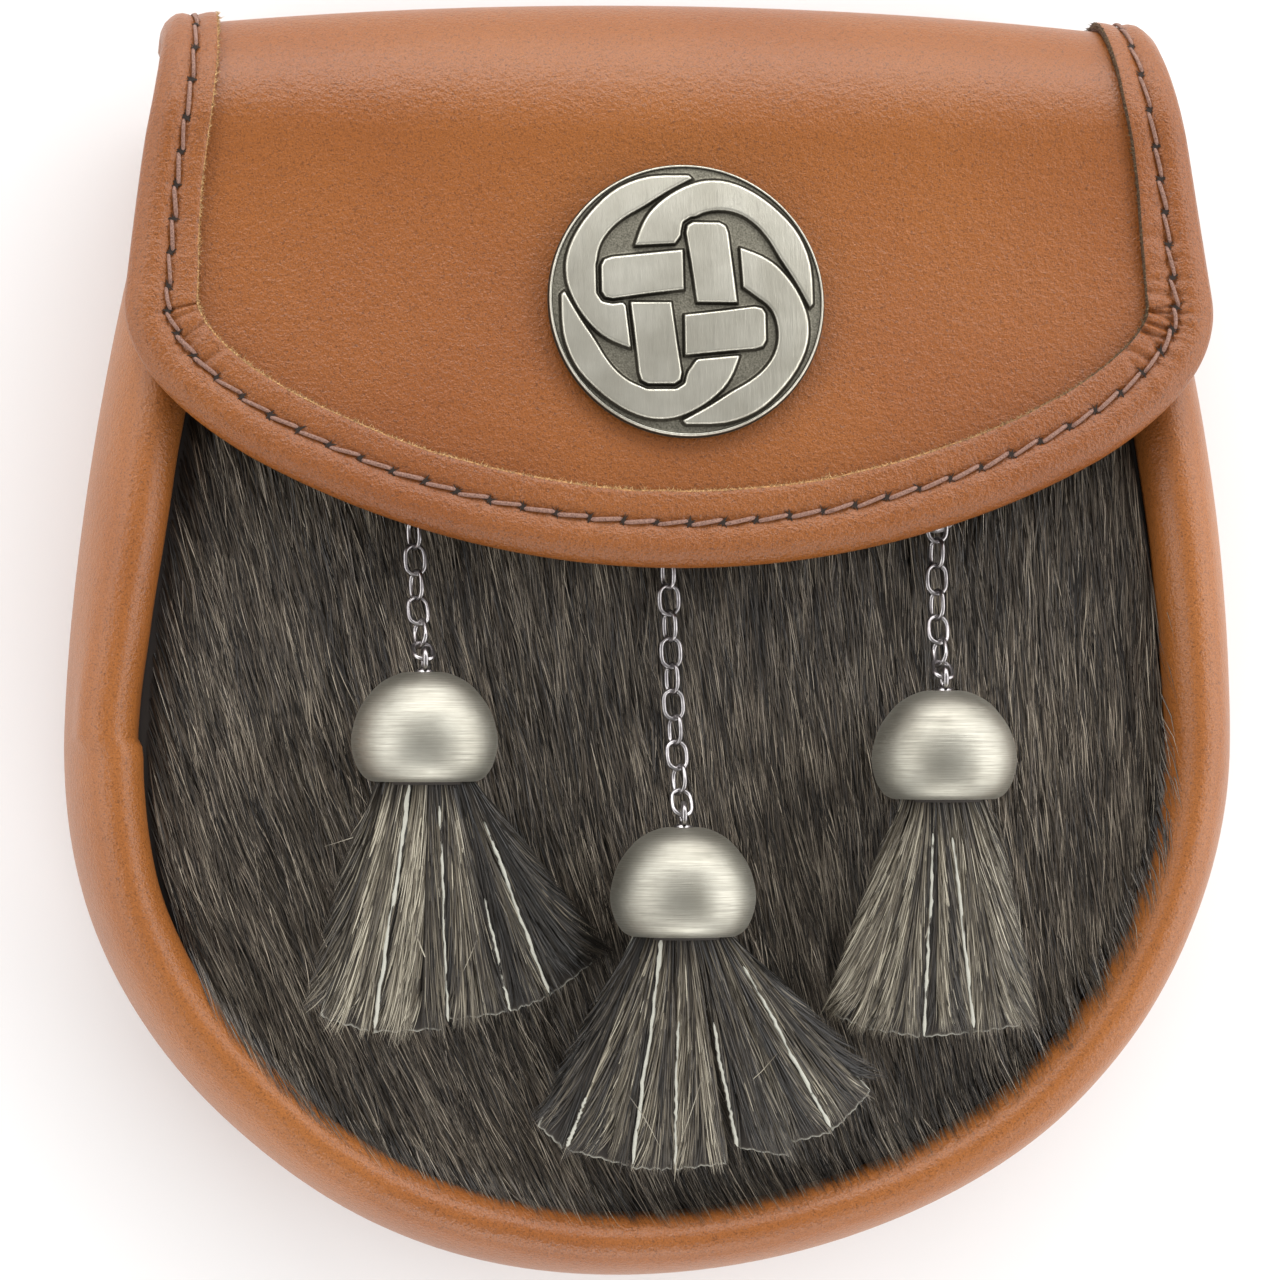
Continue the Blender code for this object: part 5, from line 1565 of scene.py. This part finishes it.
SOFTBOXES = table("name place aim size power", (
    ("top_softbox", (0, 1.05, 0.50), (0, 0.03, 0.02), (1.8, 0.6), 17.0),
    ("left_softbox", (-1.00, 0.05, 0.48), (0, 0, 0.02), (1.7, 0.6), 8.7),
    ("right_softbox", (1.00, 0.05, 0.50), (0, 0, 0.02), (1.9, 0.9), 15.4),
    ("low_softbox", (0, -1.05, 0.45), (0, 0, 0.02), (1.2, 0.3), 7.0),
))
WORLD_LIGHT = 0.45
FLOOR_HALF = 4
FLOOR_DROP = 0.0005


def add_area(name, place, aim, size, power):
    data = bpy.data.lights.new(name, "AREA")
    data.shape = "RECTANGLE"
    data.size, data.size_y = size
    data.energy = power
    lamp = bpy.data.objects.new(name, data)
    lamp.location = place
    lamp.rotation_euler = (Vector(aim) - Vector(place)).to_track_quat("-Z", "Y").to_euler()
    bpy.context.scene.collection.objects.link(lamp)


def make_studio():
    data = bpy.data.cameras.new("camera")
    data.sensor_width = 36
    data.lens = CAMERA_LENS
    data.clip_start, data.clip_end = 0.01, 50
    camera = bpy.data.objects.new("camera", data)
    back = Vector((-math.sin(CAMERA_TILT), 0, math.cos(CAMERA_TILT)))
    camera.location = CAMERA_AIM + back * CAMERA_REACH
    camera.rotation_euler = (0, -CAMERA_TILT, 0)
    bpy.context.scene.collection.objects.link(camera)
    bpy.context.scene.camera = camera

    corners = np.array([(-1, -1, 0), (1, -1, 0), (1, 1, 0), (-1, 1, 0)]) * FLOOR_HALF
    floor_mesh = quad_mesh("floor", corners, np.array([[0, 1, 2, 3]]))
    floor_mesh.materials.append(plain("floor_white", (0.86, 0.86, 0.86), 0.8))
    floor = bpy.data.objects.new("floor", floor_mesh)
    floor.location.z = -FLOOR_DROP
    bpy.context.scene.collection.objects.link(floor)

    for softbox in SOFTBOXES:
        add_area(**softbox)
    world = bpy.data.worlds.new("studio")
    world.use_nodes = True
    background = world.node_tree.nodes["Background"]
    background.inputs["Color"].default_value = (1, 1, 1, 1)
    background.inputs["Strength"].default_value = WORLD_LIGHT
    bpy.context.scene.world = world
    bpy.context.scene.view_settings.view_transform = "Standard"


def keep_cad(name, material):
    """A CAD piece that is plain and exact stays, and takes its finish."""
    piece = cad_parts[name]
    piece.data.materials.clear()
    piece.data.materials.append(material)


FUR_TONES = ((0.02, (0.009, 0.007, 0.0055)), (0.28, (0.034, 0.026, 0.018)),
             (0.55, (0.115, 0.090, 0.066)), (0.92, (0.40, 0.34, 0.26)))
FRINGE_TONES = ((0.02, (0.010, 0.008, 0.006)), (0.28, (0.036, 0.028, 0.020)),
                (0.55, (0.155, 0.130, 0.092)), (0.90, (0.52, 0.47, 0.36)))
HIDE_TONES = ((0.0, (0.020, 0.015, 0.012)), (0.4, (0.05, 0.04, 0.03)), (0.95, (0.50, 0.49, 0.42)))


def main():
    tan = leather("tan_leather_fine", LEATHER_PALE, LEATHER_DARK)
    make_gusset(leather("tan_leather_roll", ROLL_PALE, ROLL_DARK))
    make_flap(tan)
    make_binding(leather("tan_leather_binding", LEATHER_PALE, LEATHER_DARK, BINDING_GRAIN),
                 raw_edge("raw_edge", RAW_EDGE))
    make_stitches(thread_material())
    # Painted shade: the stitch holes take a dark plain finish.
    make_stitch_holes(plain("hole_painted_shade", (0.018, 0.010, 0.006), 0.9))
    make_edge_fibres(raw_edge("edge_fibre", EDGE_FIBRE))
    keep_cad("back_panel", tan)
    cast, shiny, relief = pewter("pewter_brushed"), steel("steel_wire"), pewter("pewter_cast", True)
    make_badge(relief)
    for tassel in TASSELS:
        make_cap(tassel, cast)
        make_chain(tassel, shiny)
        make_eye(tassel, shiny)
        make_pin(tassel, shiny)
    keep_cad("press_stud", shiny)
    make_hide(plain("fur_underside", (0.022, 0.017, 0.014), 0.8))
    make_fur(hair_material("fur_hair", FUR_TONES))
    hide = hair_material("fringe_hide", HIDE_TONES, 0.8)
    hair = hair_material("fringe_hair", FRINGE_TONES)
    for seed, tassel in enumerate(TASSELS):
        make_fringe(tassel, hide, FRINGE_SEED + seed)
        make_fringe_hair(tassel, hair, FRINGE_HAIR_SEED + seed)
    make_studio()


main()
bpy.context.view_layer.update()
